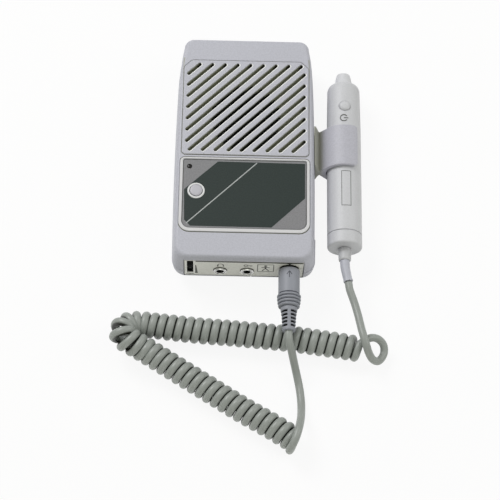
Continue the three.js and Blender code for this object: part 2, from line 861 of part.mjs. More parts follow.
function plugRelief() {
  const end = cordExit;
  const shellForm = turned([
    [0, reliefTop], [reliefStart, reliefTop], [reliefEnd + 0.1, end + 2.2], [reliefEnd + 0.25, end + 1.8],
    [reliefEnd + 0.25, end + 0.4], [reliefEnd, end], [0, end],
  ], 'y', socketCentre, 16);
  let cutters = null;
  for (let i = 0; i < reliefSlots; i++) {
    const y = reliefTop - 1.9 - i * reliefSlotPitch;
    for (const side of [-1, 1]) {
      const x0 = plugX + side * reliefSpine / 2;
      const x1 = plugX + side * (reliefStart + past);
      const cutter = box(
        [Math.min(x0, x1), y - reliefSlotWidth / 2, plugHeight - past],
        [Math.max(x0, x1), y + reliefSlotWidth / 2, plugHeight + past],
      );
      cutters = cutters ? cutters.add(cutter) : cutter;
    }
  }
  const core = rod('y', socketCentre, reliefCore, end + 0.5, reliefTop - 0.5, 8);
  return shellForm.subtract(cutters.subtract(core));
}

// Battery

function battery() {
  const low = wall + batteryClearance;
  const right = batteryLeft + batteryWidth;
  const top = batteryEnd + batteryLength;
  let block = box([batteryLeft, batteryEnd, low], [right, top, low + batteryDepth]);
  for (const side of [-1, 1]) {
    const x = batteryLeft + batteryWidth / 2 + side * terminalSpacing / 2;
    const stud = rod('y', [x, low + batteryDepth / 2], terminalRadius, top - 0.5, top + terminalHeight, 14);
    block = block.add(stud);
  }
  return block;
}

function batterySnap() {
  const low = wall + batteryClearance;
  const middle = low + batteryDepth / 2;
  const top = batteryEnd + batteryLength;
  const right = batteryLeft + batteryWidth - 1;
  let snap = box([batteryLeft + 1, top + gap, middle - 6], [right, top + 3.6, middle + 6]);
  for (const side of [-1, 1]) {
    const x = batteryLeft + batteryWidth / 2 + side * terminalSpacing / 2;
    const hole = rod('y', [x, middle], terminalRadius + gap, top - past, top + terminalHeight + gap, 14);
    snap = snap.subtract(hole);
  }
  return snap;
}

function caseScrew([x, y]) {
  const headFoot = screwRecess - gap - screwHeadHeight;
  const profile = [
    [0, headFoot + 0.6], [1.1, headFoot], [screwHeadRadius - 0.5, headFoot], [screwHeadRadius, headFoot + 0.6],
    [screwHeadRadius, screwRecess - gap], [screwRadius, screwRecess - gap],
    [screwRadius, screwRecess + screwLength - 1], [0, screwRecess + screwLength],
  ];
  return turned(profile, 'z', [x, y], 12);
}

// Probe

const probeCentre = [probeX, probeHeight];
const probeCapTop = probeBottom + probeCapLength;
const probeBore = probeRadius - probeWall;

function probeBody() {
  const low = probeCapTop + gap;
  const shoulderRise = probeTop - probeShoulder;
  const profile = [[probeBore, low], [probeRadius, low], [probeRadius, probeShoulder - 0.6]];
  for (const angle of [20, 45, 70]) {
    const a = THREE.MathUtils.degToRad(angle);
    profile.push([
      probeRadius - (probeRadius - tipBase) * (1 - Math.cos(a)) - 0.05,
      probeShoulder + shoulderRise * Math.sin(a) * 0.97,
    ]);
  }
  const inside = probeShoulder - 1.5;
  profile.push(
    [tipBase, probeTop], [tipBase - tipWall, probeTop], [tipBase - tipWall, inside],
    [probeBore, inside - 2], [probeBore, low],
  );
  let body = turned(profile, 'y', probeCentre, 28);
  const hole = probeButtonRadius + gap;
  return body.subtract(rod('z', [probeX, probeButtonY], hole, probeHeight, probeHeight + 2 * probeRadius, 20));
}

function probeTip() {
  const stem = tipBase - tipWall - gap;
  const flange = stem + tipFlange;
  const inside = probeShoulder - 1.5;
  const foot = probeTop + gap;
  const end = foot + tipLength;
  return turned([
    [tipBore, inside - 3], [flange, inside - 3], [flange, inside - 1.2], [stem, inside - 1.2],
    [stem, foot], [tipBase, foot], [tipBase, foot + 0.6], [tipEnd + 0.35, end - 1.0],
    [tipEnd + 0.15, end - 0.3], [tipEnd - 0.3, end], [0, end], [0, end - tipFace], [tipBore, end - tipFace],
    [tipBore, inside - 3],
  ], 'y', probeCentre, 18);
}

const crystalFace = probeTop + gap + tipLength - tipFace - gap;
function crystal(side) {
  const half = rod('y', probeCentre, tipBore - gap, crystalFace - crystalThickness, crystalFace, 24);
  const split = 0.2;
  const z = probeHeight;
  const keep = side > 0
    ? box([probeX - past, crystalFace - past, z + split], [probeX + past, crystalFace + past, z + past])
    : box([probeX - past, crystalFace - past, z - past], [probeX + past, crystalFace + past, z - split]);
  return half.intersect(keep);
}

function crystalBacking() {
  const top = crystalFace - crystalThickness - gap;
  return rod('y', probeCentre, tipBore - gap, top - 6, top, 24);
}

const probeBoardTop = probeHeight + 1.4;
const probeSwitchTop = probeBoardTop + 3.4;
const probeButtonFoot = probeSwitchTop + gap + probeButtonTravel;

function probeBoard() {
  const y0 = probeCapTop + gap + 6;
  return box(
    [probeX - probeBoardWidth / 2, y0, probeBoardTop - 1.2],
    [probeX + probeBoardWidth / 2, y0 + probeBoardLength, probeBoardTop],
  );
}

function probeSwitch() {
  const base = box(
    [probeX - 3, probeButtonY - 3, probeBoardTop],
    [probeX + 3, probeButtonY + 3, probeSwitchTop - 0.5],
  );
  return base.add(rod('z', [probeX, probeButtonY], 1.6, probeBoardTop, probeSwitchTop, 16));
}

function probeButton() {
  const top = probeHeight + probeRadius + probeButtonRise;
  const collar = 0.5;
  const reach = probeButtonRadius + 0.6;
  const under = probeHeight + Math.sqrt(probeBore ** 2 - reach ** 2) - gap;
  const foot = Math.min(probeButtonFoot, under - collar);
  return turned([
    [0, foot], [reach, foot], [reach, foot + collar], [probeButtonRadius, foot + collar],
    [probeButtonRadius, top - 1.1], [probeButtonRadius - 0.5, top - 0.5],
    [probeButtonRadius - 1.4, top - 0.12], [0, top],
  ], 'z', [probeX, probeButtonY], 20);
}

function probeEndCap() {
  const spigot = probeBore - gap;
  return turned([
    [0, probeBottom], [probeRadius - 0.8, probeBottom], [probeRadius, probeBottom + 0.9],
    [probeRadius, probeCapTop], [spigot, probeCapTop],
    [spigot, probeCapTop + 5], [0, probeCapTop + 5],
  ], 'y', probeCentre, 28);
}

const collarTop = probeBottom - gap;
const collarFoot = collarTop - collarLength;
function cordCollar() {
  return turned([
    [0, collarTop], [collarRadius, collarTop], [collarRadius - 0.25, collarFoot + 0.5],
    [collarRadius - 0.5, collarFoot], [0, collarFoot],
  ], 'y', probeCentre, 20);
}

function tube(positions, rings, sides) {
  const index = [];
  for (let k = 0; k + 1 < rings; k++) {
    for (let i = 0; i < sides; i++) {
      const a = k * sides + i;
      const b = k * sides + (i + 1) % sides;
      index.push(a, b, b + sides, a, b + sides, a + sides);
    }
  }
  const last = (rings - 1) * sides;
  for (let i = 1; i + 1 < sides; i++) {
    index.push(0, i + 1, i, last, last + i, last + i + 1);
  }
  const geometry = new THREE.BufferGeometry();
  geometry.setAttribute('position', new THREE.Float32BufferAttribute(positions, 3));
  geometry.setIndex(index);
  return closed(geometry);
}

// Sleeve: leaves the collar straight and leans towards +X, where the cord goes on
const sleeveRoute = [[0, gap], [0.2, 4], [0.9, 8], [1.8, 12.2]].map(
  ([across, down]) => new THREE.Vector3(probeX + across, collarFoot - down, probeHeight),
);

function cordSleeve() {
  const taper = (sleeveEndRadius - sleeveRadius) / (sleeveRoute.length - 1);
  const radii = sleeveRoute.map((p, i) => sleeveRadius + taper * i);
  return roundTube(sleeveRoute, 14, radii);
}

// Holder

function probeHolder() {
  const outer = probeRadius + gap + holderWall;
  const inner = probeRadius + gap;
  const ringPoint = (degrees, radius) => {
    const a = THREE.MathUtils.degToRad(degrees);
    return [probeX + radius * Math.cos(a), probeHeight + radius * Math.sin(a)];
  };
  const band = [];
  const steps = 22;
  for (let i = 0; i <= steps; i++) {
    const degrees = mouthAbove + (360 + mouthBelow - mouthAbove) * i / steps;
    band.push(ringPoint(degrees, outer));
    band.unshift(ringPoint(degrees, inner));
  }
  const half = [
    ringPoint(rootMeets - 6, outer), ringPoint(rootMeets, outer),
    [caseHalfWidth + rootWaistOut, probeHeight + rootWaist / 2],
    [caseHalfWidth + rootWaistOut / 2, probeHeight + 0.28 * rootFoot],
    [caseHalfWidth + 0.2, probeHeight + 0.46 * rootFoot],
    [caseHalfWidth - 1.5, probeHeight + rootFoot / 2],
  ];
  const wrap = [];
  for (let degrees = 360 - rootMeets; degrees >= rootMeets; degrees -= 16) {
    wrap.push(ringPoint(degrees, (inner + outer) / 2));
  }
  const mirrored = half.map(([x, z]) => [x, 2 * probeHeight - z]).reverse();
  const [ringShape, root] = [band, [...half, ...mirrored, ...wrap]].map(
    (points) => new THREE.Shape(points.map(([x, z]) => new THREE.Vector2(x, z))),
  );
  let holder = plateAlongY(ringShape, holderLow, holderHigh).add(plateAlongY(root, holderLow, holderHigh));
  const grown = loft([
    [-past, -gap, -gap, -gap],
    ...backLevels.slice(2).map((level) => inward(level, -gap)),
    ...frontLevels.slice(1, 3).map((level) => inward(level, -gap)),
  ]);
  holder = holder.subtract(grown);
  return holder.add(tongue(0));
}

// Cord. Every route is a middle line, in the order probe to plug.

const coilAxis = [
  [62.5, -108.6, 7.2], [54.7, -107.2, 7.2], [40.0, -105.2, 7.2], [25.3, -103.4, 7.2], [12.0, -102.3, 7.2],
  [-6.2, -100.9, 7.2], [-23.4, -99.8, 7.2], [-38.4, -98.6, 7.5], [-45.0, -98.1, 7.6], [-57.4, -97.9, 7.7],
  [-61.5, -100.1, 8.2], [-63.4, -103.2, 10.1], [-63.6, -107.3, 12.1], [-57.1, -111.0, 10.7],
  [-53.7, -112.7, 10.2], [-47.2, -116.1, 9.4], [-34.3, -123.0, 8.1], [-18.0, -132.5, 7.2],
  [0.5, -144.0, 7.2], [17.2, -153.5, 7.2], [27.6, -160.0, 7.2],
];
const coilStart = 100;           // degrees round the axis, from its level side
const cornerAt = 11;             // the axis point in the middle of the bend
const cornerReach = 18;          // how far along the axis the bend opens the coil
const cornerPitch = 9.5;
const cornerThinning = 1.6;
const probeTailRoute = [
  [probeX + 1.9, -73.3, probeHeight], [probeX + 2.6, -77.6, probeHeight - 0.2], [60.0, -84.7, 14.2],
  [61.8, -91.8, 14.6], [62.6, -95.9, 15.2],
];
const probeLoop = [
  [62.65, -96.2, 15.3], [63.4, -100.3, 16.2], [64.4, -104.8, 17.0], [65.8, -109.4, 16.2],
  [67.4, -112.8, 13.0], [69.8, -114.9, 8.8], [73.2, -114.5, 5.6], [76.1, -110.0, 4.6],
  [75.9, -105.6, 6.3], [72.8, -103.2, 8.9], [68.3, -103.7, 11.2],
];
const plugLoop = [
  [25.9, -166.4, 10.4], [27.3, -165.2, 13.6], [29.0, -161.6, 15.2], [30.3, -157.0, 14.6],
  [31.2, -152.4, 11.6], [31.75, -148.6, 8.55],
];
const plugTailRoute = [
  [31.8, -148.25, 8.25], [32.1, -143.6, 4.9], [32.1, -138.0, 2.7], [31.6, -132.4, 2.2],
  [30.7, -127.0, 2.5], [29.2, -121.3, 4.7], [27.4, -116.3, 9.2], [25.9, -111.6, 15.0],
  [plugX, cordExit - gap - cordDiameter, plugHeight], [plugX, cordExit - gap, plugHeight],
];

function spline(route) {
  const points = route.map((p) => (p.isVector3 ? p : new THREE.Vector3(...p)));
  return new THREE.CatmullRomCurve3(points, false, 'catmullrom', 0.5);
}

function coilPoints() {
  const perSpan = 40;
  const count = perSpan * (coilAxis.length - 1);
  const curve = spline(coilAxis);
  const line = [];
  const length = [];
  for (let i = 0; i <= count; i++) {
    line.push(curve.getPoint(i / count));
    length.push(i === 0 ? 0 : length[i - 1] + line[i].distanceTo(line[i - 1]));
  }
  const whole = length[count];
  const middle = length[cornerAt * perSpan];
  const axisAt = (s) => {
    const inside = Math.min(Math.max(s, 0), whole);
    let i = 1;
    while (i < count && length[i] < inside) {
      i++;
    }
    const share = (inside - length[i - 1]) / (length[i] - length[i - 1]);
    const point = line[i - 1].clone().lerp(line[i], share);
    return point.addScaledVector(line[i].clone().sub(line[i - 1]).normalize(), s - inside);
  };
  const bend = (s) => {
    const share = Math.max(0, 1 - Math.abs(s - middle) / cornerReach);
    return share * share * (3 - 2 * share);
  };
  const points = [];
  const step = 0.02;
  let turns = 0;
  for (let s = 0; s < whole; s += step) {
    if (turns * coilStepsPerTurn >= points.length) {
      const along = axisAt(s + coilPitch).sub(axisAt(s - coilPitch)).normalize();
      const over = new THREE.Vector3(0, 0, 1).addScaledVector(along, -along.z).normalize();
      const across = new THREE.Vector3().crossVectors(over, along);
      const angle = THREE.MathUtils.degToRad(coilStart - 360 * points.length / coilStepsPerTurn);
      const radius = coilRadius - cornerThinning * bend(s);
      const point = axisAt(s);
      point.addScaledVector(across, radius * Math.cos(angle));
      points.push(point.addScaledVector(over, radius * Math.sin(angle)));
    }
    turns += step / (coilPitch + (cornerPitch - coilPitch) * bend(s));
  }
  return points;
}

function sampled(route, from, to, steps) {
  // points of the spline between two of its control points
  const curve = spline(route);
  const points = [];
  for (let i = 0; i <= steps; i++) {
    points.push(curve.getPoint((from + (to - from) * i / steps) / (route.length - 1)));
  }
  return points;
}

function cordPath() {
  const coil = coilPoints();
  const last = coil.length - 1;
  const lead = sampled([...probeLoop, coil[0], coil[1]], 0, probeLoop.length, 2 * probeLoop.length);
  const tail = sampled([coil[last - 1], coil[last], ...plugLoop], 1, plugLoop.length + 1, 2 * plugLoop.length);
  console.log('curls', (last / coilStepsPerTurn).toFixed(2));
  return [...lead.slice(0, -1), ...coil, ...tail.slice(1)];
}

function roundTube(points, sides, radii) {
  // one radius for each point; the section is carried along without twist
  const positions = [];
  const side = new THREE.Vector3();
  points.forEach((p, k) => {
    const next = points[Math.min(k + 1, points.length - 1)];
    const previous = points[Math.max(k - 1, 0)];
    const along = next.clone().sub(previous).normalize();
    if (k === 0) {
      side.set(0, 0, 1);
    }
    side.addScaledVector(along, -side.dot(along)).normalize();
    const other = new THREE.Vector3().crossVectors(along, side);
    for (let i = 0; i < sides; i++) {
      const a = (i + 0.5) / sides * 2 * Math.PI;
      const q = p.clone();
      q.addScaledVector(side, radii[k] * Math.cos(a));
      q.addScaledVector(other, radii[k] * Math.sin(a));
      positions.push(q.x, q.y, q.z);
    }
  });
  return tube(positions, points.length, sides);
}

function cordTube(points, sides) {
  return roundTube(points, sides, points.map(() => cordDiameter / 2));
}

function dense(points) {
  const out = [];
  for (let i = 0; i + 1 < points.length; i++) {
    for (let k = 0; k < 4; k++) {
      out.push(points[i].clone().lerp(points[i + 1], k / 4));
    }
  }
  return out;
}

function leastGap(first, second, skip) {
  let least = Infinity;
  first.forEach((p, i) => {
    for (let j = skip === null ? 0 : i + skip; j < second.length; j++) {
      least = Math.min(least, p.distanceTo(second[j]));
    }
  });
  return least - cordDiameter;
}

const cordPoints = cordPath();
const probeTailPoints = sampled(probeTailRoute, 0, probeTailRoute.length - 1, 8);
const plugTailPoints = sampled(plugTailRoute, 0, plugTailRoute.length - 1, 20);
const cordDense = dense(cordPoints);
console.log('least gap of the curly cord to itself, mm:', leastGap(cordDense, cordDense, 12).toFixed(2));
const plugTailGap = leastGap(dense(plugTailPoints).slice(8), cordDense, null);
console.log('least gap of the plug tail to it, mm:', plugTailGap.toFixed(2));
const probeTailGap = leastGap(dense(probeTailPoints).slice(0, -8), cordDense, null);
console.log('least gap of the probe tail to it, mm:', probeTailGap.toFixed(2));

// Finishes

const caseGrey = new THREE.MeshStandardMaterial({ color: 0xbebfc4, roughness: 0.6, metalness: 0 });
const panelGrey = new THREE.MeshStandardMaterial({ color: 0xadaea7, roughness: 0.6, metalness: 0 });
const labelDark = new THREE.MeshStandardMaterial({ color: 0x3a4342, roughness: 0.4, metalness: 0.1 });
const buttonGrey = new THREE.MeshStandardMaterial({ color: 0xbabcc2, roughness: 0.5, metalness: 0 });
const lampRed = new THREE.MeshStandardMaterial({ color: 0x241414, roughness: 0.2, metalness: 0 });
const blackPlastic = new THREE.MeshStandardMaterial({ color: 0x1d1e20, roughness: 0.5, metalness: 0 });
const felt = new THREE.MeshStandardMaterial({ color: 0x4c4d3f, roughness: 0.95, metalness: 0 });
const steel = new THREE.MeshStandardMaterial({ color: 0xb9bbbd, roughness: 0.3, metalness: 1 });
const paper = new THREE.MeshStandardMaterial({ color: 0x26262a, roughness: 0.9, metalness: 0 });
const boardGreen = new THREE.MeshStandardMaterial({ color: 0x2f6b3c, roughness: 0.5, metalness: 0 });
const batterySkin = new THREE.MeshStandardMaterial({ color: 0x6a6d72, roughness: 0.4, metalness: 0.4 });
const brass = new THREE.MeshStandardMaterial({ color: 0xc9a24a, roughness: 0.3, metalness: 1 });
const probeGrey = new THREE.MeshStandardMaterial({ color: 0xc6c6cb, roughness: 0.6, metalness: 0 });
const ceramic = new THREE.MeshStandardMaterial({ color: 0xd8d2c0, roughness: 0.4, metalness: 0 });
const epoxy = new THREE.MeshStandardMaterial({ color: 0x77756a, roughness: 0.7, metalness: 0 });
const plugGrey = new THREE.MeshStandardMaterial({ color: 0x979aa4, roughness: 0.6, metalness: 0 });
const cordGrey = new THREE.MeshStandardMaterial({ color: 0x8f938d, roughness: 0.6, metalness: 0 });

// Assembly

const unit = new THREE.Group();
unit.name = 'handheld_doppler';

function put(name, shape, material) {
  const geometry = shape.isBufferGeometry ? shape : surface(shape);
  const mesh = new THREE.Mesh(geometry, material);
  mesh.name = name;
  unit.add(mesh);
}

put('front_shell', frontShell(), caseGrey);
put('rear_shell', rearShell(), caseGrey);
put('battery_door', batteryDoor(), caseGrey);
put('end_panel', endPanel(), panelGrey);
put('name_plate', namePlate(), labelDark);
put('calibrate_button', calibrateButton(), buttonGrey);
put('button_bezel', buttonBezel(), buttonGrey);
put('calibrate_switch', calibrateSwitch(), blackPlastic);
put('power_lamp', powerLamp(), lampRed);
put('button_board', buttonBoard(), boardGreen);
put('speaker_felt', speakerFelt(), felt);
put('speaker_frame', speakerFrame(), steel);
put('speaker_cone', speakerCone(), paper);
put('speaker_magnet', speakerMagnet(), steel);
put('main_board', mainBoard(), boardGreen);
put('shield_can', onBoard(shieldCan), steel);
put('signal_chip', onBoard(signalChip), blackPlastic);
capacitorRows.forEach((y, i) => put(`filter_capacitor_${i + 1}`, filterCapacitor(y), blackPlastic));
put('volume_wheel', volumeWheel(), blackPlastic);
put('volume_pot', volumePot(), blackPlastic);
for (const [name, x] of Object.entries(jackPlaces)) {
  put(`${name}_jack`, jack(x), blackPlastic);
  put(`${name}_nut`, jackNutRing(x), steel);
}
put('probe_socket', probeSocket(), blackPlastic);
put('plug_shell', plugShell(), steel);
put('plug_pins', plugPins(), brass);
put('plug_body', plugBody(), plugGrey);
put('plug_grip', plugGrip(), plugGrey);
put('plug_relief', plugRelief(), plugGrey);
put('battery', battery(), batterySkin);
put('battery_snap', batterySnap(), blackPlastic);
screwPlaces.forEach((place, i) => put(`case_screw_${i + 1}`, caseScrew(place), steel));
put('probe_holder', probeHolder(), caseGrey);
put('probe_body', probeBody(), probeGrey);
put('probe_tip', probeTip(), probeGrey);
put('transmit_crystal', crystal(1), ceramic);
put('receive_crystal', crystal(-1), ceramic);
put('crystal_backing', crystalBacking(), epoxy);
put('probe_button', probeButton(), probeGrey);
put('probe_switch', probeSwitch(), blackPlastic);
put('probe_board', probeBoard(), boardGreen);
put('probe_end_cap', probeEndCap(), probeGrey);
put('cord_collar', cordCollar(), plugGrey);
put('cord_sleeve', cordSleeve(), plugGrey);
put('curly_cord', cordTube(cordPoints, coilSides), cordGrey);
put('cord_plug_tail', cordTube(plugTailPoints, tailSides), cordGrey);
put('cord_probe_tail', cordTube(probeTailPoints, tailSides), cordGrey);

export default unit;
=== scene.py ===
# Looks of the pocket doppler: main unit, probe in its clip and curly cord, seen as in the photograph.
# Lengths are in millimetres unless a line says metres; +Z leaves the front face, +Y is the speaker end.

import math

import bmesh
import bpy
from mathutils import Matrix, Vector
from mathutils.kdtree import KDTree


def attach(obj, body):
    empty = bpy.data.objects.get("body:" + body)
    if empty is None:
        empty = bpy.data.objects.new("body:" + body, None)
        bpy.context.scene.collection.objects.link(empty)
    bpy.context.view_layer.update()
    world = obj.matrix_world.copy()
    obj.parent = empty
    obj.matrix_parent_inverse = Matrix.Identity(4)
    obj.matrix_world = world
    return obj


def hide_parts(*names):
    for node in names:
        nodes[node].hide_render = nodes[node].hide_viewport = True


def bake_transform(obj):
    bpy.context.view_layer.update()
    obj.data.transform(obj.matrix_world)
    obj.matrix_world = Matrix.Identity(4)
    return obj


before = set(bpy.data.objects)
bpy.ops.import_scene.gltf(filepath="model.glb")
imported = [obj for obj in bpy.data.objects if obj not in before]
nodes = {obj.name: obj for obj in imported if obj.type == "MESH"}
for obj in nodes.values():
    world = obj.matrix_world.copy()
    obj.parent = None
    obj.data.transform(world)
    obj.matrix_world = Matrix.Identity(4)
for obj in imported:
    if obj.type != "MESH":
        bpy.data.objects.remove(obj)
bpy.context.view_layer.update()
mm = 0.001
print("frame loaded,", len(nodes), "solids")


# trees of nodes, for materials and for geometry

class Wire:
    # one socket, so that sums can be written with it
    def __init__(self, tree, socket):
        self.tree = tree
        self.socket = socket

    def work(self, operation, *values):
        return self.tree.node("ShaderNodeMath", {"operation": operation}, dict(enumerate(values)))

    def __add__(self, other):
        return self.work("ADD", self, other)

    def __radd__(self, other):
        return self.work("ADD", other, self)

    def __sub__(self, other):
        return self.work("SUBTRACT", self, other)

    def __rsub__(self, other):
        return self.work("SUBTRACT", other, self)

    def __mul__(self, other):
        return self.work("MULTIPLY", self, other)

    def __rmul__(self, other):
        return self.work("MULTIPLY", other, self)

    def __truediv__(self, other):
        return self.work("DIVIDE", self, other)

    def __rtruediv__(self, other):
        return self.work("DIVIDE", other, self)


class Tree:
    def node(self, kind, settings=None, inputs=None, output=0):
        made = self.tree.nodes.new(kind)
        for key, value in (settings or {}).items():
            if key == "stops":
                self.setStops(made.color_ramp, value)
            else:
                setattr(made, key, value)
        for key, value in (inputs or {}).items():
            if isinstance(value, Wire):
                self.tree.links.new(value.socket, made.inputs[key])
            else:
                made.inputs[key].default_value = value
        return Wire(self, made.outputs[output]) if made.outputs else None

    def setStops(self, ramp, stops):
        while len(ramp.elements) < len(stops):
            ramp.elements.new(1.0)
        for element, (place, colour) in zip(ramp.elements, stops):
            element.position = place
            element.color = colour


class Finish(Tree):
    def __init__(self, name):
        self.material = bpy.data.materials.new(name)
        self.material.use_nodes = True
        self.tree = self.material.node_tree
        self.tree.nodes.clear()

    def mixed(self, share, first, second):
        settings = {"data_type": "RGBA"}
        return self.node("ShaderNodeMix", settings, {0: share, 6: first, 7: second}, 2)

    def past(self, value, start, width):
        # from 0 to 1 as the value goes from start to start + width
        return self.node("ShaderNodeMath", {"operation": "MULTIPLY_ADD", "use_clamp": True}, {
            0: value, 1: 1 / width, 2: -start / width,
        })

    def end(self, shader):
        self.node("ShaderNodeOutputMaterial", inputs={"Surface": shader})
        return self.material


class Steps(Tree):
    # a geometry tree with named sizes
    def __init__(self, name, sizes):
        self.tree = bpy.data.node_groups.new(name, "GeometryNodeTree")
        face = self.tree.interface
        face.new_socket("Geometry", in_out="INPUT", socket_type="NodeSocketGeometry")
        for key, kind in sizes.items():
            face.new_socket(key, in_out="INPUT", socket_type=kind)
        face.new_socket("Geometry", in_out="OUTPUT", socket_type="NodeSocketGeometry")
        self.start = self.tree.nodes.new("NodeGroupInput")

    def given(self, name):
        return Wire(self, self.start.outputs[name])

    def end(self, geometry, material, smooth=True):
        shaded = self.node("GeometryNodeSetShadeSmooth", inputs={0: geometry, "Shade Smooth": smooth})
        whole = self.node("GeometryNodeRealizeInstances", inputs={0: shaded})
        painted = self.node("GeometryNodeSetMaterial", inputs={0: whole, "Material": material})
        self.tree.links.new(painted.socket, self.tree.nodes.new("NodeGroupOutput").inputs[0])
        return self

    def run(self, obj, sizes):
        change = obj.modifiers.new("steps", "NODES")
        change.node_group = self.tree
        for item in self.tree.interface.items_tree:
            if item.in_out == "INPUT" and item.name in sizes:
                change[item.identifier] = sizes[item.name]
        return settled(obj)


def settled(obj):
    # the evaluated mesh becomes the object's own
    bpy.context.view_layer.update()
    graph = bpy.context.evaluated_depsgraph_get()
    mesh = bpy.data.meshes.new_from_object(obj.evaluated_get(graph))
    obj.modifiers.clear()
    obj.data = mesh
    return obj


# finishes

def tone(red, green, blue):
    # a colour as it is read off a screen, 0 to 255
    def linear(value):
        value = value / 255
        return value / 12.92 if value <= 0.04045 else ((value + 0.055) / 1.055) ** 2.4
    return (linear(red), linear(green), linear(blue), 1.0)


def shaded(colour, share):
    return tuple(value * share for value in colour[:3]) + (1.0,)


def plastic(name, colour, roughness=0.5, grain=0.12, grainSize=0.35, cloud=0.03, specular=0.5, speck=0.0,
            tint=None):
    # grain is the moulded texture's depth, cloud and speck its change of tone, broad and fine;
    # tint paints shade and highlights into the colour at some places
    finish = Finish(name)
    place = finish.node("ShaderNodeTexCoord", output="Object")
    broad = finish.node("ShaderNodeTexNoise", inputs={"Vector": place, "Scale": 45.0, "Detail": 3.0})
    fine = finish.node(
        "ShaderNodeTexNoise", inputs={"Vector": place, "Scale": 1000.0 / grainSize, "Detail": 2.0}
    )
    base = finish.mixed(broad, shaded(colour, 1 - cloud), shaded(colour, 1 + cloud))
    if speck:
        dots = finish.node("ShaderNodeTexNoise", inputs={"Vector": place, "Scale": 1250.0, "Detail": 1.0})
        spread = finish.past(dots, 1 / 3, 1 / 3)
        pale = finish.mixed(broad, shaded(colour, 1 - cloud + speck), shaded(colour, 1 + cloud + speck))
        base = finish.mixed(spread, finish.mixed(speck, base, (0.0, 0.0, 0.0, 1.0)), pale)
    if tint:
        base = tint(finish, place, base)
    bump = finish.node(
        "ShaderNodeBump", inputs={"Strength": grain, "Distance": 0.00008, "Height": fine}
    )
    shader = finish.node("ShaderNodeBsdfPrincipled", inputs={
        "Base Color": base,
        "Roughness": roughness + (fine - 0.5) * 0.12,
        "Specular IOR Level": specular,
        "Normal": bump,
    })
    return finish.end(shader)


def axesOf(finish, vector, scale=1000):
    # its three numbers; a place on the object then comes in millimetres
    axes = finish.tree.nodes.new("ShaderNodeSeparateXYZ")
    finish.tree.links.new(vector.socket, axes.inputs[0])
    return [Wire(finish, axes.outputs[i]) * scale for i in (0, 1, 2)]


# tones for the shade and highlights painted on the front shell and the felt, and where they lie
frontPaintedLight = {
    "slotRimHighlight": tone(246, 247, 245), "slotWallShade": tone(180, 181, 166), "slotDeepShade": tone(148, 150, 131),
    "slotShade": tone(62, 63, 55), "shadeAt": (0, 17.0), "shadeRadius": 19.5,
    "padTop": 31.05, "padHalf": 33.7, "padLow": -4.4, "padHigh": 53.6, "padCorner": 83.6,
    "border": tone(214, 214, 216), "borderFrom": 30.72,
    "borderTop": -5.0,
    "groove": tone(140, 141, 126), "padGrooveShade": tone(166, 167, 162), "padGrooveFrom": -5.7,
    "grooveFrom": 30.44, "grooveHalf": 35.3, "grooveEnd": 56.0,
    "feltShade": tone(30, 31, 27),
}
# painted shade in the holder's valley beside the case
rootShadeTones = {"valley": tone(166, 167, 156), "from": 43.6, "fade": 2.4}
# the crease is 0 along the middle of a curl and 1 at its edge, where it meets the next curl
# painted shade between the cord's curls
creaseShadeTones = {"between": tone(40, 42, 34), "from": 0.767, "fade": 0.167}


def speakerShade(finish, x, y):
    # where shade is painted: 1 over the speaker's opening, 0 round it
    centreX, centreY = frontPaintedLight["shadeAt"]
    distance = finish.node("ShaderNodeMath", {"operation": "SQRT"}, {
        0: (x - centreX) * (x - centreX) + (y - centreY) * (y - centreY),
    })
    return finish.past(-1 * distance, -frontPaintedLight["shadeRadius"], 1.5)


def feltShadeTint(finish, place, base):
    # painted shade: the felt is dark over the speaker's opening
    x, y = axesOf(finish, place)[:2]
    return finish.mixed(speakerShade(finish, x, y), base, frontPaintedLight["feltShade"])


